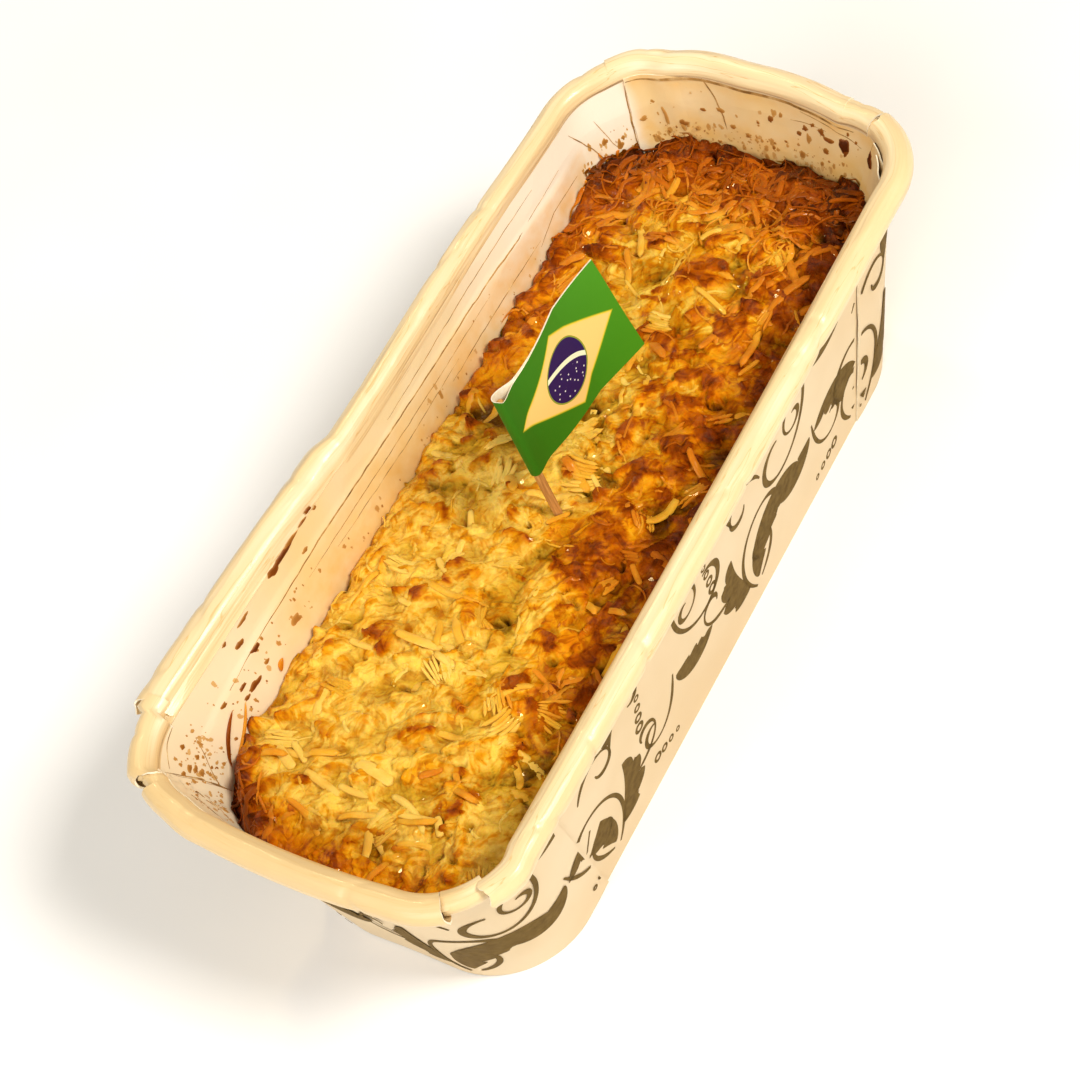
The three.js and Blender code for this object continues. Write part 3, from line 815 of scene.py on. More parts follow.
@functools.cache
def rolled_paper():
    """The same board on the rolled rim: streaked and creased along the roll, with faint tan fold lines."""
    material, tree, shader = new_material("rolled_cream_paperboard")
    surface = add_node(tree, "ShaderNodeTexCoord").outputs["UV"]
    drawn = add_node(tree, "ShaderNodeMapping", {"Vector": surface, "Scale": (0.9, 11.0, 1.0)}).outputs[0]
    streaks = add_node(tree, "ShaderNodeTexNoise", {"Vector": drawn, "Scale": 1.0, "Detail": 3.0},
                       noise_dimensions="2D").outputs["Fac"]
    colour = add_node(tree, "ShaderNodeValToRGB", {0: streaks}, stops=[
        (0.3, "#f6e2ba"), (0.475, "#f0d6a6"), (0.485, "#dcb070"), (0.495, "#f0d6a6"), (0.7, "#ecd09c"),
    ]).outputs[0]
    grease_and_shade = add_node(tree, "ShaderNodeAttribute", attribute_name="grease_and_shade").outputs["Fac"]
    colour = overlaid(tree, colour, [(grease_and_shade, linear("#dcba80"))])
    set_inputs(tree, shader, Base_Color=colour, Roughness=0.36, IOR=1.45,
               Coat_Weight=0.2, Coat_Roughness=0.15)
    bumped(tree, shader, [
        (crumpled(tree, (1.7, 5.0, 1.0)), 0.5), (streaks, 0.5), (object_noise(tree, 0.6), 0.012),
    ])
    return material


@functools.cache
def cut_paper():
    """Torn and cut edges of the board: uncoated white fibre."""
    stops = [(0.3, "#f4ead2"), (0.7, "#e6d6b4")]
    return mottled("white_paper_core", (0.8,), stops, [(0.05, 0.4)], Roughness=0.85, IOR=1.45)


def greasy_crease_and_shadow_line():
    """Cracked coating along a fold: fibre that has soaked up grease and browned. The same dark tan paints
    shadow lines along layer edges and under the far roll.
    """
    stops = [(0.3, "#74501f"), (0.55, "#b48646"), (0.8, "#e2c48a")]
    return mottled("grease_fold_and_painted_shadow_line", (2.5, 3.0), stops, Roughness=0.6, IOR=1.47)


@functools.cache
def plain_paper():
    """Outside of the board: uncoated paper, dull and warm in tone, with fine fibre."""
    stops = [(0.3, "#dfc8a2"), (0.7, "#d8bd92")]
    bumps = [(0.1, 11.0, 3.0), (0.012, 0.5)]
    return mottled("uncoated_white_paper", (20.0,), stops, bumps, Roughness=0.55, IOR=1.47)


def olive_ink():
    """Flexographic ink: matt olive brown, slightly uneven where the paper took less of it."""
    stops = [(0.3, bpy.context.scene.loaf_case.ink), (0.75, "#755c2c")]
    return mottled("olive_brown_ink", (1.5, 4.0), stops,
                   Roughness=0.6, IOR=1.15, Specular_Tint=linear("#ffd080"))


def burnt_syrup():
    """Splashes of batter baked to caramel: thin tan rims and dark glossy middles."""
    material, tree, shader = new_material("baked_caramel_splash")
    depth = add_node(tree, "ShaderNodeAttribute", attribute_name="depth").outputs["Fac"]
    colour = add_node(tree, "ShaderNodeValToRGB", {0: depth}, stops=[
        (0.0, "#dcb273"), (0.22, "#c6914a"), (0.45, "#9c6325"), (0.75, "#7a3d10"), (1.0, "#4e2006"),
    ]).outputs[0]
    set_inputs(tree, shader, Base_Color=colour, Roughness=0.45, IOR=1.25,
               Coat_Weight=0.08, Coat_Roughness=0.15)
    bumped(tree, shader, [(object_noise(tree, 0.5), 0.04)])
    return material


def bent_place(tree, wave_mm, shift_mm):
    """Object coordinates bent out of line by noise: how wide its waves are, and how far they shift."""
    place = add_node(tree, "ShaderNodeTexCoord").outputs["Object"]
    waves = {"Vector": place, "Scale": 1.0 / (wave_mm * MM), "Detail": 2.0}
    bend = add_node(tree, "ShaderNodeTexNoise", waves)
    inputs = {0: bend.outputs["Color"], 1: (shift_mm * MM,) * 3, 2: place}
    return add_node(tree, "ShaderNodeVectorMath", inputs, operation="MULTIPLY_ADD").outputs[0]


def strand_grain(tree, cell_mm, strand_mm):
    """Fine strands, 0 to 1, that lie side by side within small cells and turn from cell to cell."""
    bent = bent_place(tree, cell_mm / 0.6, 1.2 * cell_mm)
    cells = add_node(tree, "ShaderNodeTexVoronoi", {"Vector": bent, "Scale": 1.0 / (cell_mm * MM)})
    share = add_node(tree, "ShaderNodeSeparateXYZ", {"Vector": cells.outputs["Color"]}).outputs["X"]
    angle = add_node(tree, "ShaderNodeMath", {0: share, 1: math.pi}, operation="MULTIPLY").outputs[0]
    heading = {"Vector": bent, "Angle": angle}
    along = add_node(tree, "ShaderNodeVectorRotate", heading, rotation_type="Z_AXIS")
    drawn = add_node(tree, "ShaderNodeVectorMath", {0: along.outputs[0], 1: (0.14, 1.0, 0.6)},
                     operation="MULTIPLY").outputs[0]
    strands = {"Vector": drawn, "Scale": 0.5 / (strand_mm * MM), "Detail": 2.0}
    noise = add_node(tree, "ShaderNodeTexNoise", strands)
    return add_node(tree, "ShaderNodeMapRange", {
        "Value": noise.outputs[0], "From Min": 0.36, "From Max": 0.64,
    }).outputs[0]


def browned_colour(tree, stops, spread, strands=None):
    """Colour by how far a point has browned, broken up by fine noise and by strands."""
    browned = add_node(tree, "ShaderNodeAttribute", attribute_name="browned").outputs["Fac"]
    if strands is not None:
        browned = add_node(tree, "ShaderNodeMath", {0: strands, 1: -0.15, 2: browned},
                           operation="MULTIPLY_ADD").outputs[0]
        browned = add_node(tree, "ShaderNodeMath", {0: browned, 1: 0.06}, operation="ADD").outputs[0]
    grain = object_noise(tree, 2.2, 5.0)
    shifted = add_node(tree, "ShaderNodeMath", {0: grain, 1: spread, 2: browned}, operation="MULTIPLY_ADD")
    centred = add_node(tree, "ShaderNodeMath", {0: shifted.outputs[0], 1: spread / 2}, operation="SUBTRACT")
    return add_node(tree, "ShaderNodeValToRGB", {0: centred.outputs[0]}, stops=stops).outputs[0]


def flaky_facets(tree, size_mm):
    """Height of small angular flakes, bent out of line by noise."""
    inputs = {"Vector": bent_place(tree, 2.0 * size_mm, size_mm), "Scale": 1.0 / (size_mm * MM)}
    return add_node(tree, "ShaderNodeTexVoronoi", inputs, distance="CHEBYCHEV").outputs["Distance"]


def moist_film(tree):
    """How thick the clear syrup lies in pools, and the tilt of its small facets."""
    place = add_node(tree, "ShaderNodeTexCoord").outputs["Object"]
    grid = {"Vector": place, "Scale": 1.0 / (0.6 * MM)}
    cells = add_node(tree, "ShaderNodeTexVoronoi", grid).outputs["Color"]
    tilted = add_node(tree, "ShaderNodeVectorMath", {0: cells, 1: (0.7, 0.7, 0.0), 2: (-0.35, -0.35, 1.0)},
                      operation="MULTIPLY_ADD").outputs[0]
    facets = add_node(tree, "ShaderNodeVectorMath", {0: tilted}, operation="NORMALIZE").outputs[0]
    pooled = add_node(tree, "ShaderNodeMapRange", {
        "Value": object_noise(tree, 3.0, 3.0), "From Min": 0.5, "From Max": 0.6, "To Min": 0.0, "To Max": 0.8,
    }).outputs[0]
    return pooled, facets


def baked_batter():
    """Baked cassava batter: moist, golden and dense and toasted on its peaks, with painted olive shade in its
    hollows.
    """
    material, tree, shader = new_material("baked_cassava_batter")
    settings = bpy.context.scene.cake_top
    strands = strand_grain(tree, 3.4, 0.52)
    browned, painted_shade, tone = (
        add_node(tree, "ShaderNodeAttribute", attribute_name=name).outputs["Fac"]
        for name in ("browned", "painted_shade", "tone")
    )
    crisp = add_node(tree, "ShaderNodeMapRange", {
        "Value": browned, "From Min": 0.1, "From Max": 0.3, "To Min": 0.4, "To Max": 1.0,
    }).outputs[0]
    wet = add_node(tree, "ShaderNodeMapRange", {
        "Value": object_noise(tree, 2.2, 3.0), "From Min": 0.38, "From Max": 0.62,
        "To Min": 0.16, "To Max": 0.5,
    }).outputs[0]
    colour = browned_colour(tree, [
        (0.0, settings.pale), (0.18, settings.golden), (0.36, "#cf7c06"), (0.56, settings.toasted),
        (0.78, "#8a3d02"), (1.0, "#4c1e01"),
    ], 0.22, strands)
    colour = tinted(tree, colour, [
        # Painted shade: olive darkening in hollows, cracks and along flake edges, and the painted shadows of
        # the right wall and the flag.
        (1.0, painted_shade, [(0.0, "#ffffff"), (0.4, "#dccb80"), (1.0, "#715c22")]),
        (0.8, object_noise(tree, 2.4, 3.0), [(0.34, "#e6d6a0"), (0.5, "#ffffff"), (0.68, "#fff6d4")]),
        (crisp, strands, [(0.0, "#dfcc9a"), (0.45, "#ffffff"), (1.0, "#fff8e0")]),
        (1.0, tone, [(0.0, "#e4d6b0"), (0.5, "#ffffff"), (1.0, "#fffbe0")]),
    ])
    pooled, facets = moist_film(tree)
    set_inputs(tree, shader, Base_Color=colour, Roughness=wet, IOR=1.22, Specular_Tint=linear("#ffc878"),
               Subsurface_Weight=0.3, Subsurface_Scale=0.0011, Subsurface_Radius=(1.0, 0.5, 0.12),
               Coat_Weight=pooled, Coat_Normal=facets, Coat_IOR=1.34, Coat_Roughness=0.05)
    bumped(tree, shader, [
        (flaky_facets(tree, 1.6), 0.4), (object_noise(tree, 1.2, 4.0), 0.2), (strands, 0.08),
    ])
    return material


@functools.cache
def coconut_shred():
    """Shredded coconut: fibrous, half clear and pale where it is moist, toasted where it is dry."""
    material, tree, shader = new_material("toasted_coconut_shred")
    colour = browned_colour(tree, [
        (0.0, "#ecc35c"), (0.18, "#e0a42c"), (0.36, "#d2801a"), (0.56, "#b45c08"), (0.78, "#8a3f04"),
        (1.0, "#4c2002"),
    ], 0.16)
    set_inputs(tree, shader, Base_Color=colour, Roughness=0.32, IOR=1.27, Specular_Tint=linear("#ffd898"),
               Coat_Weight=0.12, Subsurface_Weight=0.25, Subsurface_Scale=0.001,
               Subsurface_Radius=(1.0, 0.5, 0.15))
    bumped(tree, shader, [(object_noise(tree, 0.5, 3.0), 0.08)])
    return material


def birch_wood():
    """Turned birch pick: warm tan with fine straight grain along it."""
    grain = (0.35, 4.0, (1.0, 1.0, 0.05))
    stops = [(0.25, "#8f5a24"), (0.5, "#c48a45"), (0.75, "#dcaa66")]
    return mottled("turned_birch", grain, stops, [(0.05, *grain)], Roughness=0.6, IOR=1.5)


def grease_and_shade_at(place, z):
    """How much grease the inner paper holds: near the cake, along the left wall and on the far wall, where a
    band of painted shade lies under the roll as well.
    """
    side = np.mod(place, ONCE_ROUND)
    near_cake = 1.0 - eased(z, 37.0, 46.0)
    below_crease = 1.0 - eased(z, crease_level(place) - 1.0, crease_level(place) + 0.5)
    on_left = (side > 3.9) & (side < 5.2)
    # Painted shade in a band just under the far roll, and a little more grease low on the far wall.
    roll_shade_and_low_grease = 0.3 * eased(z, 46.5, 49.5) + 0.1 * (1.0 - eased(z, 38.0, 44.0))
    grease_and_shade = 0.36 * near_cake + 0.32 * below_crease * on_left
    grease_and_shade = grease_and_shade + between(side, 1.45, 1.6, 3.3, 3.4) * (0.24 + roll_shade_and_low_grease)
    # Much less grease in the near left corner, which paints the corner lighter along with the painted light
    # there.
    return unit(grease_and_shade * (1.0 - 0.9 * between(side, 4.7, 4.9, 5.9, 6.3)))


def painted_light_at(place):
    """How much painted light brightens the inner paper: most at the far left corner, some at the near left
    one.
    """
    side = np.mod(place, ONCE_ROUND)
    return 0.9 * between(side, 3.25, 3.4, 4.05, 4.5) + 0.4 * between(side, 4.7, 4.9, 5.9, 6.3)


def write_grease_shade_and_light(piece, place, z, inner=1.0):
    """Keeps how greasy the coated paper is, with its painted shade under the far roll, and its painted light,
    where it is the inner one.
    """
    write_value(piece, "grease_and_shade", inner * grease_and_shade_at(place, z))
    write_value(piece, "painted_light", inner * painted_light_at(place))


# Section of the case: how far out each point lies, and its height. 1 is the inner face, whose
# distance varies, and far inwards is the middle of the base.
BASE_MIDDLE = -900.0
CASE_SECTION = np.array(
    [(BASE_MIDDLE, 0.0), (-3.0, 0.0), (0.0, 0.0)]
    + [(0.0, z) for z in np.linspace(0.4, 50.2, 18)]
    + [(1.0, z) for z in np.linspace(50.4, 30.0, 30)]
    + [(1.0, 15.0), (1.0, PAPER), (BASE_MIDDLE, PAPER)]
)


def case_wall():
    """The folded wall and base of the case: one closed shell."""
    steps = len(CASE_SECTION) - 1
    piece, along, row = new_grid("case_wall", 560, steps)
    place = place_at(along * ROUND_LENGTH)
    kind, z = CASE_SECTION[np.rint(row * steps).astype(int)].T
    inner = kind == 1.0
    points = wall_point(place, z, np.where(inner, inside_face(place, z), np.maximum(kind, -3.0)))
    points[kind == BASE_MIDDLE, :2] = 0.0
    write_points(piece, points)
    write_grease_shade_and_light(piece, place, z, inner)
    write_uv(piece, along, z / CASE_HEIGHT)
    weld(piece)
    turn_outwards(piece)
    settle(piece, "case_paper", coated_paper(), plain_paper())
    outer_faces(piece)
    return piece


def outer_faces(piece):
    """Gives the second material to the faces that look out from the case."""
    normals, centres = np.empty((2, len(piece.data.polygons) * 3))
    piece.data.polygons.foreach_get("normal", normals)
    piece.data.polygons.foreach_get("center", centres)
    normals = normals.reshape(-1, 3)
    centres = centres.reshape(-1, 3)
    outwards = (normals[:, :2] * centres[:, :2]).sum(axis=1) > 0.0
    below = normals[:, 2] < -0.9
    piece.data.polygons.foreach_set("material_index", (outwards | below).astype(int))
    piece.data.update()


# Stretches of the rim's roll: name, first and last place, radius, slant of each cut, roughness of it
ROLLS = (
    ("right", 7.655, 9.695, 2.9, 0.030, 0.010),
    ("far_right", 1.70, 1.98, 2.7, 0.0, 0.0),
    ("far", 1.968, 3.44, 2.9, 0.012, 0.0),
    ("left", 3.43, 5.02, 2.7, 0.03, 0.014),
    ("near_left", 4.985, 5.43, 2.95, 0.0, 0.004),
    ("near_left_tuck", 5.415, 5.535, 2.2, 0.0, 0.01),
    ("near", 5.53, 7.375, 2.9, 0.02, 0.005),
    ("near_right_tuck", 7.36, 7.67, 2.2, 0.0, 0.0),
)


# Share of a strip of roll that goes up the wall before it turns
FOOT_SHARE = 0.14


def roll_section(path, radius, shift, bead, level, start):
    """Section of a rolled strip: up the wall from its foot, over the roll and into its spiral."""
    centre = radius - ROLL_OVERLAP + shift
    rolled = unit((path - FOOT_SHARE) / (1.0 - FOOT_SHARE))
    angle = mix(start, start - math.radians(500), rolled)
    inwards = radius * (1.0 - 0.42 * eased(rolled, 0.62, 1.0))
    join_out = centre + radius * np.cos(start)
    join_z = level + radius * np.sin(start)
    reach = np.maximum(join_z - bead, 0.6)
    t = unit(path / FOOT_SHARE)
    leave = t ** 3 - 2 * t ** 2 + t
    arrive = t ** 3 - t ** 2
    risen = 3 * t ** 2 - 2 * t ** 3
    foot_out = mix(-0.42, join_out, risen) + leave * -0.5 + arrive * np.sin(start) * reach
    foot_z = mix(bead - 0.6, join_z, risen) + leave * reach - arrive * np.cos(start) * reach
    on_foot = path < FOOT_SHARE
    out = np.where(on_foot, foot_out, centre + inwards * np.cos(angle))
    return out, np.where(on_foot, foot_z, level + inwards * np.sin(angle))


def roll_shape(name, place, distance, path, radius):
    """Radius, outward shift, level and first angle of a strip's roll, with its dents and creases."""
    bulge = np.full(place.shape, radius - 0.06)
    start = np.full(place.shape, math.pi)
    shift = roll_shift(place)
    if name == "left":
        bulge = bulge + eased(place, STEP_LEFT - 0.02, STEP_LEFT + 0.02)
        start = math.pi - 0.55 * eased(place, 4.565, 4.75)
    if name == "near_right_tuck":
        shift = np.full(place.shape, -0.2)
    if name == "right":
        shift = np.where(np.mod(place, ONCE_ROUND) > 7.0, roll_shift(np.maximum(place, 7.645)), 0.0)
    level = CASE_HEIGHT - 0.06 - np.maximum(bulge, ROLL_RADIUS - 0.06)
    crease = (1.0 - np.abs(rough(distance / 16.0, path * 2.2, 811))) ** 16
    pressed = 0.04 * rough(distance / 12.0, path * 4.0, 813) - 0.22 * crease
    return 0.98 * bulge + pressed, shift, level, start


def roll_strip(name, first, last, radius, slant, torn):
    """One stretch of the rim's roll, a coiled strip of paper with its cut ends."""
    length = span_length(first, last)
    piece, along, path = new_grid("roll_" + name, max(12, int(length / 0.6)), 54)
    ragged = torn * rough(path * 14.0, np.full(path.shape, first), 801)
    cut = 100.0 * (slant * (path - 0.5) + ragged)
    distance = distance_at(first) + cut + mix(length, 0.0, along)
    place = place_at(distance)
    bulge, shift, level, start = roll_shape(name, place, distance, path, radius)
    out, z = roll_section(path, bulge, shift, bead_level(place), level, start)
    write_points(piece, wall_point_high(place, z, out))
    write_uv(piece, distance / 40.0, path)
    side = np.mod(place, ONCE_ROUND)
    near = between(side, 5.1, 5.5, 7.4, 7.6)
    far = between(side, 1.9, 2.1, 3.3, 3.6)
    write_value(piece, "grease_and_shade", 0.35 + 0.5 * near - 0.35 * far)
    thicken(piece, 0.36, -1.0, rolled_paper(), cut_paper())
    return piece


def wall_point_high(place, z, out):
    """As wall_point, but the roll keeps the outline and bow of the rim at any height above it."""
    points = wall_point(place, np.full(place.shape, ROLL_LEVEL), out)
    lower = wall_point(place, np.minimum(z, ROLL_LEVEL), out)
    on_wall = (out < -0.2)[:, None]
    points = np.where(on_wall, lower, points)
    points[:, 2] = z
    return points


def case_rolls():
    """The rolled rim in its separate stretches, joined into one piece."""
    return settle(join_pieces([roll_strip(*roll) for roll in ROLLS], "case_rolls"), "case_paper", angle=50.0)


def end_wrap(name, first, last):
    """An end wall's second layer, which wraps round both corners outside the long walls."""
    length = span_length(first, last)
    piece, along, up = new_grid(name, int(length / 1.2), 20)
    ragged = 0.25 * rough(up * 9.0, along, 831)
    run = mix(length + ragged, ragged, along)
    distance = distance_at(first) + run
    z = mix(0.3, 50.0, up)
    out = mix(FLAP - 0.02, 0.32, smooth(bump_at(along, 0.5, 0.2)))
    out = out + 0.06 * rough(distance / 7.0, z / 11.0, 837)
    out = np.where((run > 0.0) & (run < length), out, FLAP)
    from_end = np.minimum(along, 1.0 - along) * length
    out = out + 0.25 * (1.0 - eased(from_end, 0.0, 3.0)) * rough(z / 14.0, along * 3.0, 841)
    write_points(piece, wall_point(place_at(distance), z, np.minimum(out, 0.62)))
    thicken(piece, 0.26, 1.0, plain_paper(), cut_paper())
    return piece


def case_wraps():
    """The second layers of paper at both ends of the case."""
    far = end_wrap("case_wrap_far", 1.0 - FLAP_REACH, 4.0 + FLAP_REACH)
    near = end_wrap("case_wrap_near", 5.0 - FLAP_REACH, 8.0 + FLAP_REACH)
    return settle(join_pieces([far, near], "case_wraps"), "case_paper")


# Inner layers of paper: name, free edge as heights and places, place where it ends in the wall, lift
LININGS = (
    ("near_left", ((31.6, 5.24), (40.3, 5.284), (49.5, 5.372), (51.4, 5.37)), 6.3, 0.35),
    ("far_left", ((34.0, 3.412), (37.6, 3.404), (46.3, 3.356), (51.0, 3.325)), 2.8, 0.4),
    ("far_right", ((33.0, 1.735), (37.3, 1.728), (43.6, 1.668), (51.3, 1.57)), 1.2, 0.75),
    ("far_right_inner", ((30.4, 1.664), (40.0, 1.60), (51.0, 1.45)), 1.05, 1.25),
)
LINING_SINKS = 0.45


def lining(name, edge, end, lift):
    """A layer of paper on the inner wall, from its free edge to where it ends in the wall."""
    heights, places = zip(*edge)
    piece, along, up = new_grid(name, 36, 44)
    z = mix(heights[0], heights[-1], up)
    ragged = 0.0012 * rough(z / 2.5, along, 851)
    place = mix(np.interp(z, heights, places) + ragged * (1.0 - along), end, along)
    sunk = eased(along, LINING_SINKS, 1.0)
    bulge = 0.16 * bump_at(along, 0.12, 0.12) * wander(z / 6.0, along, 857)
    out = inside_face(place, z) - lift * (1.0 - sunk) + 0.3 * sunk - bulge
    write_points(piece, wall_point(place, z, out))
    write_grease_shade_and_light(piece, place, z)
    write_uv(piece, distance_at(place) / ROUND_LENGTH, z / CASE_HEIGHT)
    outwards = 1.0 if end > places[0] else -1.0
    thicken(piece, 0.24, outwards, coated_paper(), cut_paper())
    turn_outwards(piece)
    return piece


def linings_out(place, z):
    """How far out the innermost paper lies, its inner layers included."""
    u = np.mod(place, ONCE_ROUND)
    lifted = np.zeros(u.shape)
    for _, edge, end, lift in LININGS:
        free = np.interp(z, *zip(*edge))
        along = (u - free) / (end - free)
        lifted = np.maximum(lifted, lift * (along > 0.0) * (1.0 - eased(along, LINING_SINKS, 1.0)))
    return inside_face(place, z) - lifted


def join_pieces(pieces, name):
    """Joins pieces into one that has the given name."""
    bpy.ops.object.select_all(action="DESELECT")
    for piece in pieces:
        piece.select_set(True)
    bpy.context.view_layer.objects.active = pieces[0]
    bpy.ops.object.join()
    return name_active(name)


def case_linings():
    """Layers of the folded corners that end inside the case, each with its free edge."""
    return settle(join_pieces([lining(*layer) for layer in LININGS], "case_linings"), "case_paper")


# Fold lines and painted shadow lines inside the case: width in millimetres, and then place and height of each
# point
# The first two lines, the one from place 1.575 and the long one near height 50 are painted shadow lines along
# the inner layers' free edges and under the far roll; the rest are grease-soaked folds.
CREASE_AND_SHADOW_LINES = (
    (0.5, 5.235, 31.6, 5.28, 40.3, 5.368, 49.5),
    (0.48, 3.416, 34.5, 3.408, 37.6, 3.388, 41.8, 3.36, 46.3, 3.332, 49.8),
    (0.22, 3.992, 47.7, 3.816, 41.5, 3.688, 35.4),
    (0.16, 3.696, 45.6, 3.64, 41.5, 3.576, 37.2),
    (0.14, 4.128, 37.4, 4.08, 39.8, 4.008, 39.4),
    (0.55, 3.32, 50.3, 3.1, 50.0, 2.9, 50.25, 2.6, 50.1, 2.3, 50.2, 2.05, 49.7, 1.85, 49.4),
    (0.26, 2.81, 51.2, 2.76, 47.4, 2.732, 44.2, 2.72, 39.7),
    (0.18, 2.232, 49.3, 2.044, 48.7, 1.76, 46.2),
    (0.14, 2.296, 46.5, 2.184, 47.1, 2.068, 47.2),
    (0.26, 1.575, 51.0, 1.675, 43.6, 1.733, 37.3),
    (0.2, 4.04, 44.8, 4.16, 43.6, 4.308, 44.2, 4.504, 44.9, 4.688, 45.2, 4.86, 44.4, 4.93, 43.5),
    (0.14, 4.124, 38.5, 4.244, 38.2, 4.38, 38.0),
    (0.12, 4.10, 47.9, 4.3, 47.2, 4.5, 46.9),
    (0.12, 4.25, 41.6, 4.42, 41.9, 4.6, 42.3, 4.74, 42.2),
    (0.1, 4.35, 40.0, 4.5, 39.8, 4.68, 40.4),
    (0.12, 5.036, 44.2, 5.092, 41.2, 5.256, 34.6),
    (0.14, 5.052, 50.0, 5.184, 49.6, 5.316, 48.1),
    (0.12, 5.516, 46.0, 5.548, 42.4, 5.60, 40.0),
    (0.14, 5.468, 41.1, 5.488, 37.0, 5.54, 35.4),
    (0.12, 5.50, 44.0, 5.60, 40.6, 5.72, 38.0),
    (0.12, 5.42, 43.0, 5.46, 39.0, 5.47, 36.6),
)


def line_edges(width, line):
    """Both edges of a line that wavers and thins out at its ends, as distances and heights."""
    knots = np.reshape(line, (-1, 2))
    knots = np.column_stack([distance_at(knots[:, 0]), knots[:, 1]])
    steps = np.concatenate([[0.0], np.cumsum(np.hypot(*np.diff(knots, axis=0).T))])
    t = np.linspace(0.0, steps[-1], max(6, int(steps[-1] / 0.8)))
    zero = np.zeros(len(t))
    centre = np.column_stack([np.interp(t, steps, knots[:, k]) for k in (0, 1)])
    centre = centre + 0.12 * np.column_stack([rough(t / 2.3, zero, 861), rough(t / 2.3, zero + 5, 861)])
    ahead = np.gradient(centre, axis=0)
    ahead = ahead / np.hypot(ahead[:, 0], ahead[:, 1])[:, None]
    side = np.column_stack([-ahead[:, 1], ahead[:, 0]])
    share = np.minimum(t, steps[-1] - t) / steps[-1]
    half = 0.5 * width * (0.25 + 0.75 * smooth(share * 5.0))[:, None]
    return np.stack([centre + side * half, centre - side * half], axis=1)


def case_creases_and_shadow_lines():
    """Fold lines where the coating has cracked and taken up grease, and painted shadow lines along the inner
    layers' free edges and under the far roll.
    """
    points = []
    faces = []
    for width, *line in CREASE_AND_SHADOW_LINES:
        edges = line_edges(width, line)
        distance, z = edges.reshape(-1, 2).T
        place = place_at(distance)
        lifted = linings_out(place, z)
        top, under = (wall_point(place, z, lifted + lift) for lift in (-0.05, 0.05))
        add_slab(points, faces, top, under, len(edges), 2)
    return settle(slab_piece("case_creases_and_shadow_lines", points, faces), "case_paper", greasy_crease_and_shadow_line())


def slab_piece(name, points, faces):
    """A piece made of closed thin slabs."""
    piece = piece_from(name, points, faces)
    turn_outwards(piece)
    return piece


def stroke_line(start, heading, length, turns):
    """Centre line and sideways directions of a stroke, from its turn in degrees at each step."""
    step = length / (len(turns) - 1)
    angle = math.radians(heading) + np.cumsum(np.radians(turns))
    forward = np.column_stack([np.cos(angle), np.sin(angle)])
    centre = np.cumsum(forward, axis=0) * step
    return centre - centre[0] + np.array(start), forward, np.column_stack([-np.sin(angle), np.cos(angle)])


def curl(start, heading, length, turn_from, turn_to, widths, power=2.0):
    """A tapered stroke whose bend, in degrees a millimetre, grows along it: its two edges."""
    count = max(8, int(length / 0.6))
    t = np.linspace(0.0, 1.0, count)
    turns = mix(turn_from, turn_to, t ** power) * length / (count - 1)
    centre, _, normal = stroke_line(start, heading, length, turns)
    half = 0.5 * np.interp(t, np.linspace(0.0, 1.0, len(widths)), widths)[:, None]
    return centre + normal * half, centre - normal * half


def leaf(start, heading, length, turn, width, lobes):
    """A curved leaf: one edge smooth, the other cut into rounded lobes with notches between."""
    count = max(24, int(length / 0.4))
    t = np.linspace(0.0, 1.0, count)
    centre, forward, normal = stroke_line(start, heading, length, np.full(count, turn / count))
    belly = np.sin(math.pi * t ** 0.8) ** 0.75
    phase = np.mod(t * lobes, 1.0)
    cut = 0.5 + 0.5 * np.sin(0.5 * math.pi * np.minimum(phase * 1.3, 1.0)) - 0.25 * (phase > 0.86)
    outer = centre + normal * (width * belly * cut)[:, None] + forward * (1.3 * phase * belly)[:, None]
    return outer, centre - normal * (0.45 * width * belly)[:, None]


def ring(centre, radius):
    """A small ring with a clear middle."""
    angle = np.linspace(0.0, 2.0 * math.pi, 15)
    turn = np.column_stack([np.cos(angle), np.sin(angle)])
    return np.array(centre) + turn * radius, np.array(centre) + turn * radius * 0.48


# Widths of a stroke from its foot to the ball at its curled end
BOLD_STROKE = (0.5, 1.0, 1.2, 1.0, 0.8, 0.7, 1.5, 1.6, 0.4)
FINE_STROKE = (0.4, 0.9, 1.0, 0.8, 0.6, 0.6, 1.2, 1.3, 0.3)


def standing_sprig():
    """Strokes of a sprig that grows from its foot: two large leaves, curls and a row of rings."""
    return [
        leaf((10.0, 6.0), 68.0, 30.0, 150.0, 5.8, 6),
        curl((11.0, 4.0), 40.0, 44.0, 3.2, 13.0, BOLD_STROKE, 1.6),
        leaf((14.0, 7.0), 30.0, 19.0, 76.0, -5.2, 4),
        curl((9.0, 5.0), 150.0, 24.0, -4.0, -26.0, BOLD_STROKE, 1.5),
        curl((22.0, 14.0), -8.0, 21.0, 3.0, 30.0, FINE_STROKE, 1.6),
        curl((8.0, 33.0), 66.0, 24.0, -5.0, -26.0, FINE_STROKE, 1.5),
        leaf((20.0, 35.0), 118.0, 14.0, -110.0, -3.9, 3),
        curl((19.0, 32.0), 74.0, 22.0, -2.0, -34.0, FINE_STROKE, 2.0),
    ] + [ring((27.5 + 0.7 * k, 25.0 + 3.0 * k), 1.45 - 0.2 * k) for k in range(4)]


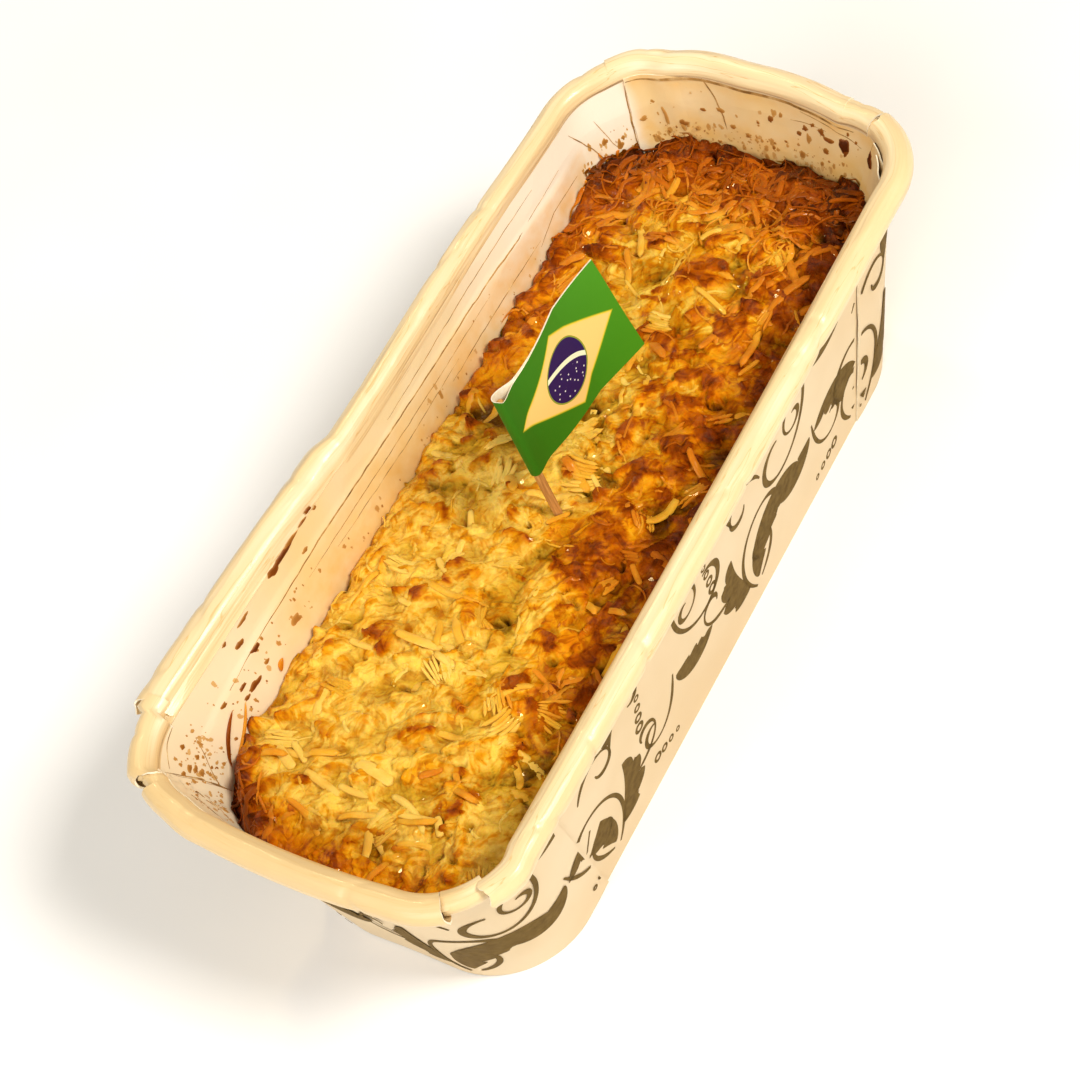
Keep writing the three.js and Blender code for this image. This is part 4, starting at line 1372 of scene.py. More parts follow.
def hanging_sprig():
    """Strokes of a sprig that hangs from the rim: a large leaf with long curls below it."""
    return [
        leaf((18.0, 44.0), 236.0, 27.0, -120.0, -5.6, 6),
        curl((17.0, 46.0), 210.0, 36.0, -1.0, -20.0, BOLD_STROKE, 1.8),
        curl((18.0, 44.0), 250.0, 42.0, 2.4, 15.0, BOLD_STROKE, 1.7),
        leaf((15.0, 20.0), -62.0, 16.0, 96.0, 4.2, 4),
        curl((14.0, 22.0), -100.0, 26.0, -1.0, -27.0, FINE_STROKE, 1.6),
        curl((21.0, 40.0), -20.0, 20.0, -6.0, -32.0, FINE_STROKE, 1.4),
    ] + [ring((4.0 + 2.6 * k, 6.0 - 0.5 * k), 1.35 - 0.2 * k) for k in range(4)]


def print_strokes(first, last, seed):
    """The sprigs of one panel, standing and hanging in turn and mirrored, in distance and height."""
    draw = np.random.default_rng(seed)
    middle = np.array([16.0, 25.0])
    strokes = []
    where = first - draw.uniform(2.0, 12.0)
    turn = 0
    while where < last + 6.0:
        shape = standing_sprig() if turn % 2 == 0 else hanging_sprig()
        flip = (1.0, 1.0) if turn % 4 < 2 else (-1.0, 1.0)
        tilt = math.radians(draw.uniform(-7.0, 7.0))
        spin = np.array([[math.cos(tilt), math.sin(tilt)], [-math.sin(tilt), math.cos(tilt)]])
        shift = middle + (where, draw.uniform(-1.5, 1.5))
        for edges in shape:
            strokes.append([((edge - middle) * flip) @ spin + shift for edge in edges])
        where += 26.0 + draw.uniform(0.0, 2.0)
        turn += 1
    return strokes


def on_panel(edge, first, last):
    """Which points of a stroke's edge lie on a panel."""
    return (edge[:, 0] > first) & (edge[:, 0] < last) & (edge[:, 1] > 0.6) & (edge[:, 1] < 49.4)


def add_ink(points, faces, left, right, first, last, lift):
    """Adds a stroke of ink on the wall as closed thin slabs, cut off where it leaves its panel."""
    kept = np.flatnonzero(on_panel(left, first, last) & on_panel(right, first, last))
    share = np.linspace(0.0, 1.0, 5)[None, :, None]
    for run in np.split(kept, np.flatnonzero(np.diff(kept) > 1) + 1):
        if len(run) < 2:
            continue
        flat = left[run][:, None, :] * (1 - share) + right[run][:, None, :] * share
        distance, z = flat.reshape(-1, 2).T
        under = lift - bpy.context.scene.loaf_case.ink_thickness / MM
        layers = [wall_point(place_at(distance), z, out) for out in (lift, under)]
        add_slab(points, faces, *layers, len(run), share.size)


def case_print():
    """The scroll print on the outside of the case: thin fields of ink that follow the paper."""
    reach = FLAP_REACH
    low = 0.04
    high = FLAP + 0.14
    panels = [
        (distance_at(reach) + 0.4, distance_at(1.0 - reach) - 0.4, low, 11),
        (distance_at(1.0 - reach) + 0.5, distance_at(4.0 + reach) - 0.5, high, 23),
        (distance_at(4.0 + reach) + 0.4, distance_at(5.0 - reach) - 0.4, low, 37),
        (distance_at(5.0 - reach) + 0.5, ROUND_LENGTH + distance_at(reach) - 0.5, high, 41),
    ]
    points = []
    faces = []
    for first, last, lift, seed in panels:
        for left, right in print_strokes(first, last, seed):
            add_ink(points, faces, left, right, first, last, lift)
    return settle(slab_piece("case_print", points, faces), "case_paper", olive_ink())


def add_slab(points, faces, top, under, rows, width):
    """Adds a closed slab between two like grids of points."""
    base = sum(len(block) for block in points)
    points += [top, under]
    below = len(top)
    numbers = base + np.arange(rows * width).reshape(rows, width)
    for r in range(rows - 1):
        for c in range(width - 1):
            a, b, d, e = numbers[r:r + 2, c:c + 2].ravel().tolist()
            faces.append((a, b, e, d))
            faces.append((a + below, d + below, e + below, b + below))
    ring = np.concatenate([numbers[0, :-1], numbers[:-1, -1], numbers[-1, :0:-1], numbers[:0:-1, 0]]).tolist()
    for here, ahead in zip(ring, ring[1:] + ring[:1]):
        faces.append((here, here + below, ahead + below, ahead))


def blob_template():
    """A low closed drop: its rim and top as turns and shares of its radius."""
    piece, turn, radial = new_grid("drop", 20, 4)
    share = np.interp(radial, [0.0, 0.25, 0.5, 0.75, 1.0], [0.0, 0.55, 0.85, 1.0, 0.0])
    height = np.interp(radial, [0.0, 0.25, 0.5, 0.75, 1.0], [1.0, 0.85, 0.5, 0.0, -0.3])
    angle = turn * 2.0 * math.pi
    return closed_template(piece, share * np.cos(angle), share * np.sin(angle), height)


def splash(template, place, z, wide, tall, thick, seed):
    """One drop of syrup on the inner wall, uneven round its rim."""
    x, y, height = template[0].T
    angle = np.arctan2(y, x)
    share = 0.5 * np.hypot(x, y) * (1.0 + 0.42 * wander(1.6 * np.cos(angle) + seed, 1.6 * np.sin(angle), 901))
    at = place_at(distance_at(place) + wide * share * np.cos(angle))
    level = z + tall * share * np.sin(angle)
    return wall_point(at, level, linings_out(at, level) - 0.02 - thick * np.maximum(height, -0.2))


# The larger splashes: place, height, width across, height and thickness
SPLASHES = (
    (4.742, 50.2, 6.4, 1.5, 0.26), (4.722, 50.5, 4.4, 0.9, 0.2), (4.765, 49.9, 3.2, 1.9, 0.24),
    (4.690, 50.7, 2.6, 0.6, 0.2), (4.672, 51.2, 1.5, 0.9, 0.25), (4.664, 50.1, 1.1, 0.7, 0.2),
    (4.842, 49.6, 3.0, 0.9, 0.2), (4.872, 47.2, 2.1, 1.2, 0.25), (4.864, 43.9, 2.2, 1.2, 0.25),
    (4.796, 39.4, 2.2, 2.0, 0.12), (4.904, 39.3, 3.2, 1.3, 0.25), (4.916, 41.5, 1.9, 0.9, 0.2),
    (4.925, 39.2, 1.6, 1.0, 0.2), (4.952, 42.9, 1.6, 0.9, 0.2), (4.884, 50.0, 1.5, 0.7, 0.2),
    (4.716, 46.3, 1.4, 0.8, 0.15), (4.868, 39.9, 1.3, 0.9, 0.15), (1.93, 45.2, 2.4, 3.4, 0.45),
    (1.915, 43.6, 1.4, 2.6, 0.3), (1.955, 46.0, 1.4, 1.8, 0.3), (1.612, 47.0, 1.5, 4.4, 0.4),
    (1.59, 45.4, 0.9, 2.6, 0.4), (2.204, 45.6, 1.2, 1.6, 0.2), (2.10, 46.4, 1.2, 1.6, 0.2),
    (2.056, 45.2, 2.0, 1.2, 0.2), (2.244, 43.8, 0.9, 1.1, 0.15), (2.42, 45.0, 0.9, 1.6, 0.2),
    (2.672, 40.8, 1.0, 1.3, 0.15), (2.504, 43.5, 0.6, 0.9, 0.12), (2.156, 47.2, 0.9, 1.1, 0.15),
    (2.98, 40.2, 1.5, 1.4, 0.12), (2.844, 43.3, 1.1, 0.9, 0.15), (2.736, 43.9, 1.4, 1.3, 0.12),
    (3.104, 41.7, 1.0, 4.4, 0.12), (3.288, 41.5, 1.6, 1.2, 0.08), (1.82, 46.9, 0.7, 1.0, 0.15),
    (1.90, 48.3, 0.7, 1.0, 0.15), (2.064, 42.1, 1.0, 1.4, 0.15), (3.668, 40.2, 1.2, 1.6, 0.1),
    (3.552, 37.8, 1.4, 2.2, 0.1), (5.144, 42.1, 1.0, 1.0, 0.15), (5.24, 43.2, 1.5, 1.1, 0.12),
    (5.228, 41.6, 1.3, 1.2, 0.12), (5.232, 40.0, 1.0, 1.3, 0.15),
)
# Fields of small splashes: first and last place, lowest and highest level, number, seed, and how
# much they gather near the cake
SPECKLES = (
    (4.93, 5.25, 35.0, 47.0, 80, 5, 1.3), (5.25, 5.6, 34.5, 45.0, 60, 6, 1.4),
    (4.72, 4.95, 37.0, 44.0, 34, 7, 1.2), (4.1, 4.7, 35.5, 42.0, 40, 8, 1.8),
    (1.75, 3.3, 36.0, 48.0, 90, 9, 2.0), (1.9, 3.3, 35.5, 40.0, 130, 10, 1.1),
    (3.45, 4.0, 35.5, 42.0, 30, 12, 1.7), (6.0, 7.0, 35.5, 38.0, 20, 13, 1.2),
)


def speckles(first, last, low, high, count, seed, gathered):
    """Small splashes scattered over part of the inner wall, most of them near the cake."""
    draw = np.random.default_rng(seed)
    made = []
    for _ in range(count):
        place = draw.uniform(first, last)
        z = low + (high - low) * draw.uniform(0.0, 1.0) ** gathered
        size = 0.2 + 0.75 * draw.uniform(0.0, 1.0) ** 2.5
        made.append((place, z, size, size * draw.uniform(0.9, 2.4), 0.12 * draw.uniform(0.0, 1.0) ** 2))
    return made


def case_splashes():
    """Caramel splashes and speckles on the inner walls."""
    template = blob_template()
    spots = sum((speckles(*field) for field in SPECKLES), list(SPLASHES))
    copies = [splash(template, *spot, 3.7 * index) for index, spot in enumerate(spots)]
    piece = many_copies("case_splashes", template[1], copies)
    draw = np.random.default_rng(31)
    middle = 0.45 + 0.55 * unit(template[0][:, 2])
    depth = [(2.6 * spot[4] + draw.uniform(0.0, 0.3)) * middle for spot in spots]
    write_value(piece, "depth", np.concatenate(depth))
    return settle(piece, "case_paper", burnt_syrup(), angle=70.0)


def cake_edge(place, level=CAKE_EDGE_LEVEL + 0.8):
    """Edge of the cake's top along the wall."""
    return wall_point(place, level, inside_face(place, np.full(np.shape(place), level)) - 0.2)


def cake_crumb():
    """The cake's body: a fine relief on top, and plain sides down to the case's base."""
    piece, u, v = new_grid("cake_crumb", 186, 500)
    span = distance_at
    near = place_at(mix(span(6.0), span(7.0), u))
    far = place_at(mix(span(3.0), span(2.0), u))
    right = place_at(np.mod(mix(span(7.0), span(8.0) + span(2.0), v), span(8.0)))
    left = place_at(mix(span(6.0), span(3.0), v))
    near_left, near_right, far_left, far_right = cake_edge(np.array([6.0, 7.0, 3.0, 2.0]))
    across = u[:, None]
    along = v[:, None]
    sides = mix(cake_edge(near), cake_edge(far), along) + mix(cake_edge(left), cake_edge(right), across)
    points = sides - mix(mix(near_left, near_right, across), mix(far_left, far_right, across), along)
    x = points[:, 0]
    y = points[:, 1]
    from_rim = np.minimum(np.minimum(u, 1 - u) * TOP_SIZE[0], np.minimum(v, 1 - v) * TOP_SIZE[1])
    uneven = 0.5 + 0.5 * rough(x / 6.0, y / 6.0, 707)
    points[:, 2] = relief("height", x, y) - (0.3 + 1.6 * uneven) * (1.0 - eased(from_rim, 0.0, 1.8))
    write_points(piece, keep_inside(points, 0.15))
    for name in ("browned", "painted_shade", "tone"):
        write_value(piece, name, relief(name, x, y))
    tiny = 1e-6
    place = np.where(v < tiny, near, np.where(v > 1 - tiny, far, np.where(u < 0.5, left, right)))
    write_value(piece, "rim_place", place)
    extend_sides(piece, (26.0, 14.0, 1.4))
    turn_outwards(piece)
    return settle(piece, "cake_crumb", baked_batter(), angle=180.0)


def extend_sides(piece, levels):
    """Extrudes the open edge down the wall level by level, and closes it below."""
    for level in levels:
        with edit_mode(piece, "DESELECT", "EDGE"):
            bpy.ops.mesh.select_non_manifold()
            bpy.ops.mesh.extrude_edges_move()
        chosen = np.empty(len(piece.data.vertices), bool)
        piece.data.vertices.foreach_get("select", chosen)
        points = read_points(piece) / MM
        points[chosen] = wall_point(read_value(piece, "rim_place")[chosen], level, -0.75 - PAPER * 0.2)
        write_points(piece, points)
    with edit_mode(piece, "DESELECT", "EDGE"):
        bpy.ops.mesh.select_non_manifold()
        bpy.ops.mesh.edge_face_add()


def strand_template(segments, sides):
    """A closed strand: length along it from 0 to 1, and its section as a rounded square."""
    piece, along, turn = new_grid("strand", segments, sides)
    angle = turn * 2.0 * math.pi
    closed = np.where((along > 1e-6) & (along < 1.0 - 1e-6), 1.0, 0.0)
    side, up = (closed * np.sign(part) * np.abs(part) ** 0.6 for part in (np.cos(angle), np.sin(angle)))
    return closed_template(piece, along, side, up)


def lay_strand(template, x0, y0, heading, length, width, thick, bend, lift, rise, ground="height"):
    """One shred that follows the cake's top, bent in plan, with its end raised or sunk."""
    t = template[:, 0]
    angle = heading + bend * t
    taper = 1.0 - 0.3 * np.abs(2.0 * t - 1.0) ** 4
    x = x0 + t * length * np.cos(angle)
    y = y0 + t * length * np.sin(angle)
    side = 0.5 * width * template[:, 1] * taper
    up = 0.5 * thick * template[:, 2] * taper
    level = relief(ground, x, y) + lift + rise * smooth(2.0 * t - 0.7) + up
    points = np.column_stack([x - side * np.sin(angle), y + side * np.cos(angle), level])
    return keep_inside(points, SHRED_GAP)


def keep_inside(points, gap):
    """Moves points that reach into the leaning wall back over the cake, square to the wall."""
    moved = points.copy()
    close = np.flatnonzero(wall_distance(points[:, 0], points[:, 1]) < 2.5)
    places = np.linspace(0.0, ONCE_ROUND, 800, endpoint=False)
    ring = wall_point(places, CAKE_EDGE_LEVEL, 0.0)[:, :2]
    for part in np.array_split(close, 1 + len(close) // 4000):
        flat = points[part, :2]
        z = points[part, 2]
        apart = np.sum((flat[:, None] - ring[None]) ** 2, axis=2)
        place = places[np.argmin(apart, axis=1)]
        limit = wall_point(place, z, inside_face(place, z) - gap)[:, :2]
        _, outwards = round_outline(place, *WALL_TOP)
        over = np.maximum(0.0, np.sum((flat - limit) * outwards, axis=1))
        moved[part, :2] = flat - over[:, None] * outwards
    return moved


def shred_piece(name, faces, shreds):
    """A piece of many shreds, each with its points and how browned they are."""
    points, browned = zip(*shreds)
    piece = many_copies(name, faces, points)
    write_value(piece, "browned", np.concatenate(browned))
    return settle(piece, "cake_crumb", coconut_shred(), angle=60.0)


def large_shreds():
    """The 72 largest shreds, where the CAD model has them."""
    template, faces = strand_template(12, 8)
    shreds = []
    for index in range(SHRED_COUNT):
        value = [float(cell_value(index, slot, SHRED_SEED)) for slot in range(7)]
        length = mix(7.0, 13.0, value[2])
        heading = 2.0 * math.pi * value[4]
        x0 = mix(-27.0, 27.0, value[0]) - 0.5 * length * math.cos(heading)
        y0 = mix(-78.0, 78.0, value[1]) - 0.5 * length * math.sin(heading)
        width = mix(1.2, 1.8, value[3])
        bend = mix(-0.45, 0.45, value[5])
        rise = 1.3 if value[6] > 0.65 else 0.0
        points = lay_strand(template, x0, y0, heading, length, width, 0.7, bend, 0.12, rise, "ground")
        shreds.append((points, shred_browning(points, value[5], 0.0)))
    return shred_piece("shreds_large", faces, shreds)


# Shreds that stand out: both ends, width, lift and how much browner than the batter
SINGLE_SHREDS = (
    (-24.6, -63.4, -19.3, -66.6, 2.4, 0.3, -0.1), (-22.6, -61.6, -17.4, -64.4, 1.6, 0.25, -0.1),
    (-7.7, -62.0, 0.6, -62.3, 2.8, 0.35, -0.12), (-16.8, -66.3, -7.5, -68.0, 2.0, 0.3, 0.0),
    (-9.1, -66.5, -2.1, -67.0, 1.7, 0.25, 0.0), (-23.5, -39.5, -16.6, -40.7, 1.6, 0.2, -0.08),
    (-18.1, -29.3, -14.7, -30.3, 1.5, 0.25, -0.08), (-15.6, -19.2, -11.4, -22.3, 1.6, 0.2, -0.08),
    (4.7, -60.4, 8.5, -57.5, 1.9, 0.3, 0.35), (-10.4, -3.1, -5.2, -2.6, 1.1, 0.3, 0.05),
    (19.8, -8.4, 23.0, -11.7, 1.4, 0.35, -0.1), (-24.4, 74.8, -22.1, 68.7, 1.0, 0.5, -0.1),
    (-11.9, 66.5, -11.8, 72.3, 2.0, 0.5, -0.2), (-8.7, 65.4, -8.1, 69.1, 1.7, 0.4, -0.2),
    (19.0, 75.1, 23.5, 78.4, 1.1, 0.5, -0.2), (21.7, 62.2, 25.7, 66.5, 1.2, 0.45, -0.15),
    (20.2, 33.9, 22.2, 39.4, 1.0, 0.4, -0.15), (3.3, 49.5, 12.1, 46.1, 1.3, 0.4, -0.1),
    (1.0, -6.6, 3.9, -2.6, 1.2, 0.45, 0.2), (4.0, -67.7, 12.5, -66.1, 1.6, 0.25, -0.05),
    (11.3, -65.5, 13.9, -68.6, 1.9, 0.25, -0.1), (-28.2, -45.4, -25.6, -42.4, 1.9, 0.3, -0.1),
    (-1.0, 59.8, 1.9, 63.6, 1.4, 0.4, -0.15), (3.4, 6.4, 7.4, 3.1, 1.2, 0.3, -0.08),
)


def single_shreds():
    """The shreds that stand out on the top, each in its own place."""
    template, faces = strand_template(14, 8)
    shreds = []
    for index, (x0, y0, x1, y1, width, lift, extra) in enumerate(SINGLE_SHREDS):
        length = math.hypot(x1 - x0, y1 - y0)
        bend = 0.35 * (float(cell_value(index, 3, 5)) - 0.5)
        heading = math.atan2(y1 - y0, x1 - x0) - 0.5 * bend
        points = lay_strand(
            template, x0, y0, heading, length, 0.8 * width, 0.6, bend, lift - 0.12, -0.15, "even")
        shreds.append((points, np.clip(shred_browning(points, 0.4, extra), 0.03, 0.85)))
    return shred_piece("shreds_single", faces, shreds)


# Shreds baked onto the inner wall: place and height of both ends, width and browning
WALL_SHREDS = (
    (4.95, 41.0, 5.09, 33.8, 0.6, 0.8), (4.93, 39.5, 5.03, 33.8, 0.4, 0.3),
    (4.852, 37.6, 4.868, 36.0, 1.0, 0.35), (3.70, 37.6, 3.73, 35.6, 0.6, 0.45),
    (3.76, 39.2, 3.745, 37.4, 0.4, 0.4), (3.82, 37.4, 3.84, 35.8, 0.7, 0.4),
    (3.90, 38.4, 3.895, 36.8, 0.5, 0.42), (3.98, 37.0, 4.0, 35.8, 0.6, 0.36),
    (3.58, 37.2, 3.62, 35.8, 0.6, 0.5),
)


def wall_shreds():
    """Shreds that stick to the case's inner wall just above the cake."""
    template, faces = strand_template(12, 8)
    t, across, up = template.T
    taper = (1.0 - 0.8 * np.abs(2.0 * t - 1.0) ** 2) * 0.5
    shreds = []
    for index, (place0, z0, place1, z1, width, brown) in enumerate(WALL_SHREDS):
        start = distance_at(place0)
        run = distance_at(place1) - start
        length = math.hypot(run, z1 - z0)
        side = across * width * taper + 0.07 * length * np.sin(math.pi * t) * (-1.0) ** index
        place = place_at(start + run * t - side * (z1 - z0) / length)
        z = z0 + (z1 - z0) * t + side * run / length
        lift = 0.25 + 0.6 * np.abs(t - 0.45) ** 2 + 0.6 * up * taper
        points = wall_point(place, z, linings_out(place, z) - lift)
        shreds.append((points, unit(brown + 0.12 * (t - 0.5) + 0.05 * up)))
    return shred_piece("shreds_on_wall", faces, shreds)


def shred_browning(points, draw, extra):
    """Browning of a shred: its region, its own share, and darker at a raised end."""
    around = relief("browned", points[:, 0], points[:, 1])
    middle = float(np.mean(around))
    high = points[:, 2] - relief("height", points[:, 0], points[:, 1])
    own = 0.85 * middle + 0.28 * (draw - 0.55) + 0.09 * np.clip(high, 0.0, 1.5) + extra
    return unit(0.7 * own + 0.3 * around)


def in_crust(x, y):
    """Where the crust is shaggy: the far end and the near left corner."""
    return y > 60.0 + 5.0 * math.sin(x * 0.3) or -y - 0.9 * x > 92.0


def scattered_strands(name, seed, in_place, kinds):
    """Loose shreds over part of the cake's top, of kinds that share one model strand."""
    template, faces = strand_template(9, 6)
    draw = np.random.default_rng(seed)
    shreds = []
    for count, length, width, thick, bend, lift, rise, darker in kinds:
        full = len(shreds) + count
        while len(shreds) < full:
            x0 = draw.uniform(-30.5, 30.5)
            y0 = draw.uniform(-80.5, 80.5)
            if not in_place(x0, y0):
                continue
            points = lay_strand(
                template, x0, y0, draw.uniform(0.0, 2.0 * math.pi), draw.uniform(*length),
                draw.uniform(*width), thick, draw.normal(0.0, bend), draw.uniform(*lift), draw.uniform(*rise))
            shreds.append((points, shred_browning(points, draw.uniform(0.0, 1.0), darker)))
    return shred_piece(name, faces, shreds)


# Kinds of scattered shreds: number, length, width, thickness, bend, lift, rise and how much darker
LOOSE_KINDS = (
    (70, (3.5, 9.0), (0.8, 1.7), 0.5, 0.3, (-0.28, -0.1), (-0.7, 0.15), 0.04),
    (170, (2.5, 7.0), (0.35, 0.7), 0.35, 0.6, (-0.14, 0.04), (-0.4, 0.3), 0.02),
)
CRUST_KINDS = (
    (130, (4.0, 9.0), (0.8, 1.7), 0.6, 0.8, (-0.28, 0.15), (-0.7, 0.7), 0.0),
    (150, (3.0, 9.0), (0.35, 0.7), 0.4, 1.5, (-0.1, 0.25), (-0.4, 0.9), 0.04),
)


def loose_shreds():
    """Shreds that lie loose on the batter all over the top."""
    return scattered_strands("shreds_loose", 1203, lambda x, y: True, LOOSE_KINDS)


def crust_shreds():
    """Curled and toasted shreds of the shaggy crust at the far end and the near left corner."""
    return scattered_strands("shreds_crust", 1709, in_crust, CRUST_KINDS)


def add_sheaf(shreds, template, draw):
    """Adds one fan of shreds that stayed side by side, with its own slope and browning."""
    cx = draw.uniform(-27.0, 28.0)
    cy = draw.uniform(-79.0, 79.0)
    heading = draw.uniform(0.0, 2.0 * math.pi)
    strands = int(draw.integers(4, 9))
    pitch = draw.uniform(0.4, 0.58)
    length = draw.uniform(3.5, 7.5)
    fan = draw.normal(0.0, 0.05)
    roll = draw.normal(0.0, 0.16)
    rise = draw.uniform(-0.5, 0.9)
    own = draw.uniform(0.0, 1.0)
    for step in np.arange(strands) - strands / 2:
        offset = step * pitch
        back = 0.5 * length + draw.uniform(-0.6, 0.6)
        x0 = cx - offset * math.sin(heading) - back * math.cos(heading)
        y0 = cy + offset * math.cos(heading) - back * math.sin(heading)
        turned = heading + fan * step + draw.normal(0.0, 0.05)
        points = lay_strand(template, x0, y0, turned, length * draw.uniform(0.75, 1.05), pitch * 1.6,
                            0.6, 0.0, 0.02 + roll * offset, rise, "even")
        shreds.append((points, shred_browning(points, own, 0.02)))


def shred_sheaves():
    """Shreds that stayed side by side as they were cut: fans of parallel ridges."""
    template, faces = strand_template(6, 6)
    draw = np.random.default_rng(2311)
    shreds = []
    for _ in range(34):
        add_sheaf(shreds, template, draw)
    return shred_piece("shreds_sheaves", faces, shreds)


def along_pick(points):
    """Places points built round the pick's axis."""
    lean = -PICK_LEAN
    turned = points.copy()
    turned[:, 0] = points[:, 0] * math.cos(lean) + points[:, 2] * math.sin(lean)
    turned[:, 2] = -points[:, 0] * math.sin(lean) + points[:, 2] * math.cos(lean)
    return turned + np.array(PICK_FOOT)


# The turned pick from its point up: radius and level
PICK_PROFILE = (
    (0.14, -26.9), (0.25, -26.6), (0.45, -23.5), (0.7, -20.0), (0.83, -18.0), (0.85, -10.0), (0.85, 0.0),
    (0.84, 6.0), (0.85, 14.0), (0.85, 24.0), (0.85, 33.0), (0.8, 33.6), (0.68, 34.1), (0.45, 34.45),
    (0.2, 34.58),
)


def wooden_pick():
    """The turned pick: a long point below and a rounded head, drawn out ring by ring from one circle."""
    radius, level = PICK_PROFILE[0]
    full = bpy.context.scene.party_flag.pick_radius / PICK_RADIUS
    bpy.ops.object.select_all(action="DESELECT")
    bpy.ops.mesh.primitive_circle_add(
        vertices=28, radius=radius * full, fill_type="NGON", location=(0, 0, level * MM))
    piece = name_active("wooden_pick")
    bpy.ops.object.transform_apply(location=True, rotation=True, scale=True)
    with edit_mode(piece, kind="FACE"):
        for next_radius, next_level in PICK_PROFILE[1:]:
            share = next_radius / radius
            rise = (0, 0, (next_level - level) * MM)
            bpy.ops.mesh.extrude_region_move(TRANSFORM_OT_translate={"value": rise})
            bpy.ops.transform.resize(value=(share, share, 1), center_override=(0, 0, 0))
            radius = next_radius
            level = next_level
    write_points(piece, along_pick(read_points(piece) / MM))
    turn_outwards(piece)
    return settle(piece, "pick_wood", birch_wood())


def flag_belly(s):
    """How far the flag's middle stands off its plane, by the share of its length from the pick."""
    hollow = -1.2 * np.sin(math.pi * np.minimum(1.0, s / 0.62))
    return hollow + 0.5 * s * s + 0.95 * np.sin(math.pi * s / 1.1)


def flag_path(t):
    """Plan of the folded flag: along its front layer, round the pick and back along the other."""
    radius = PICK_RADIUS + 0.24
    side = np.where(t < 0.5, -1.0, 1.0)
    s = np.abs(2.0 * t - 1.0)
    wrap = 0.1
    tail = unit((s - wrap) / (1.0 - wrap))
    along = FLAG_LENGTH * tail
    y = mix(side * radius, flag_belly(tail) + side * 0.075, smooth(along / 4.5))
    angle = math.pi - side * 0.5 * math.pi * unit(s / wrap)
    on_wrap = s < wrap
    return np.where(on_wrap, radius * np.cos(angle), along), np.where(on_wrap, radius * np.sin(angle), y), s


def paper_flag():
    """The flag: one strip of printed paper folded round the pick and glued to itself."""
    piece, t, up = new_grid("paper_flag", 200, 40)
    x, y, s = flag_path(t)
    share = unit(x / FLAG_LENGTH)
    back = (t > 0.5).astype(float)
    short = 0.8 * (1.0 - back) * (1.0 - eased(x, 0.0, 13.0)) * eased(s, 0.03, 0.1)
    z = up * bpy.context.scene.party_flag.height / MM - short * eased(up, 0.8, 1.0)
    y = y + 4.2 * (up - 0.5) * smooth(share) + 0.1 * np.sin(up * 7.0 + share * 5.0) * share
    z = z - 1.2 * share ** 2
    turned = np.column_stack([
        x * math.cos(FLAG_TURN) - y * math.sin(FLAG_TURN),
        x * math.sin(FLAG_TURN) + y * math.cos(FLAG_TURN),
        z + FLAG_BOTTOM,
    ])
    write_points(piece, along_pick(turned))
    write_uv(piece, np.clip(x, 0.0, None) / FLAG_LENGTH, up)
    give_materials(piece, cut_paper(), flag_print())
    apply_modifier(piece, "SOLIDIFY", thickness=0.14 * MM, offset=0.0, material_offset=1)
    return settle(piece, "flag_paper")


# Corners of the flag's rhombus, as shares of its length and height
RHOMBUS = ((0.928, 0.493), (0.488, 0.888), (0.04, 0.521), (0.482, 0.097))
SHARP_EDGE = 0.006


def rhombus_share(tree, surface):
    """Above 0 inside the rhombus: the least distance from its four sides."""
    least = 1.0
    for (u0, v0), (u1, v1) in zip(RHOMBUS, RHOMBUS[1:] + RHOMBUS[:1]):
        length = math.hypot(u1 - u0, v1 - v0)
        inwards = ((v0 - v1) / length, (u1 - u0) / length, 0.0)
        edge = inwards[0] * u0 + inwards[1] * v0
        reach = add_node(tree, "ShaderNodeVectorMath", {0: surface, 1: inwards}, operation="DOT_PRODUCT")
        within = add_node(tree, "ShaderNodeMath", {0: reach.outputs["Value"], 1: edge}, operation="SUBTRACT")
        nearer = {0: within.outputs[0], 1: least}
        least = add_node(tree, "ShaderNodeMath", nearer, operation="MINIMUM").outputs[0]
    return least


def flag_fields(tree, surface, place):
    """Fields of the print by name, each 1 inside its edge and 0 outside."""
    rhombus = rhombus_share(tree, surface)
    disc, band = (
        add_node(tree, "ShaderNodeVectorMath", {0: place, 1: centre}, operation="DISTANCE").outputs["Value"]
        for centre in (FLAG_DISC, FLAG_BAND)
    )
    edges = {
        "rhombus_rim": (rhombus, -0.012, 1.0), "rhombus": (rhombus, 0.0, 1.0), "disc_rim": (disc, 6.2, -1.0),
        "disc": (disc, 5.9, -1.0), "starry": (disc, 5.4, -1.0), "band": (band, 17.25, -1.0),
        "under_band": (band, 16.3, -1.0), "low": (band, 15.6, -1.0),
    }
    fields = {}
    for name, (value, edge, way) in edges.items():
        rise = way * SHARP_EDGE
        inputs = {"Value": value, "From Min": edge - rise, "From Max": edge + rise}
        fields[name] = add_node(tree, "ShaderNodeMapRange", inputs).outputs[0]
    return fields


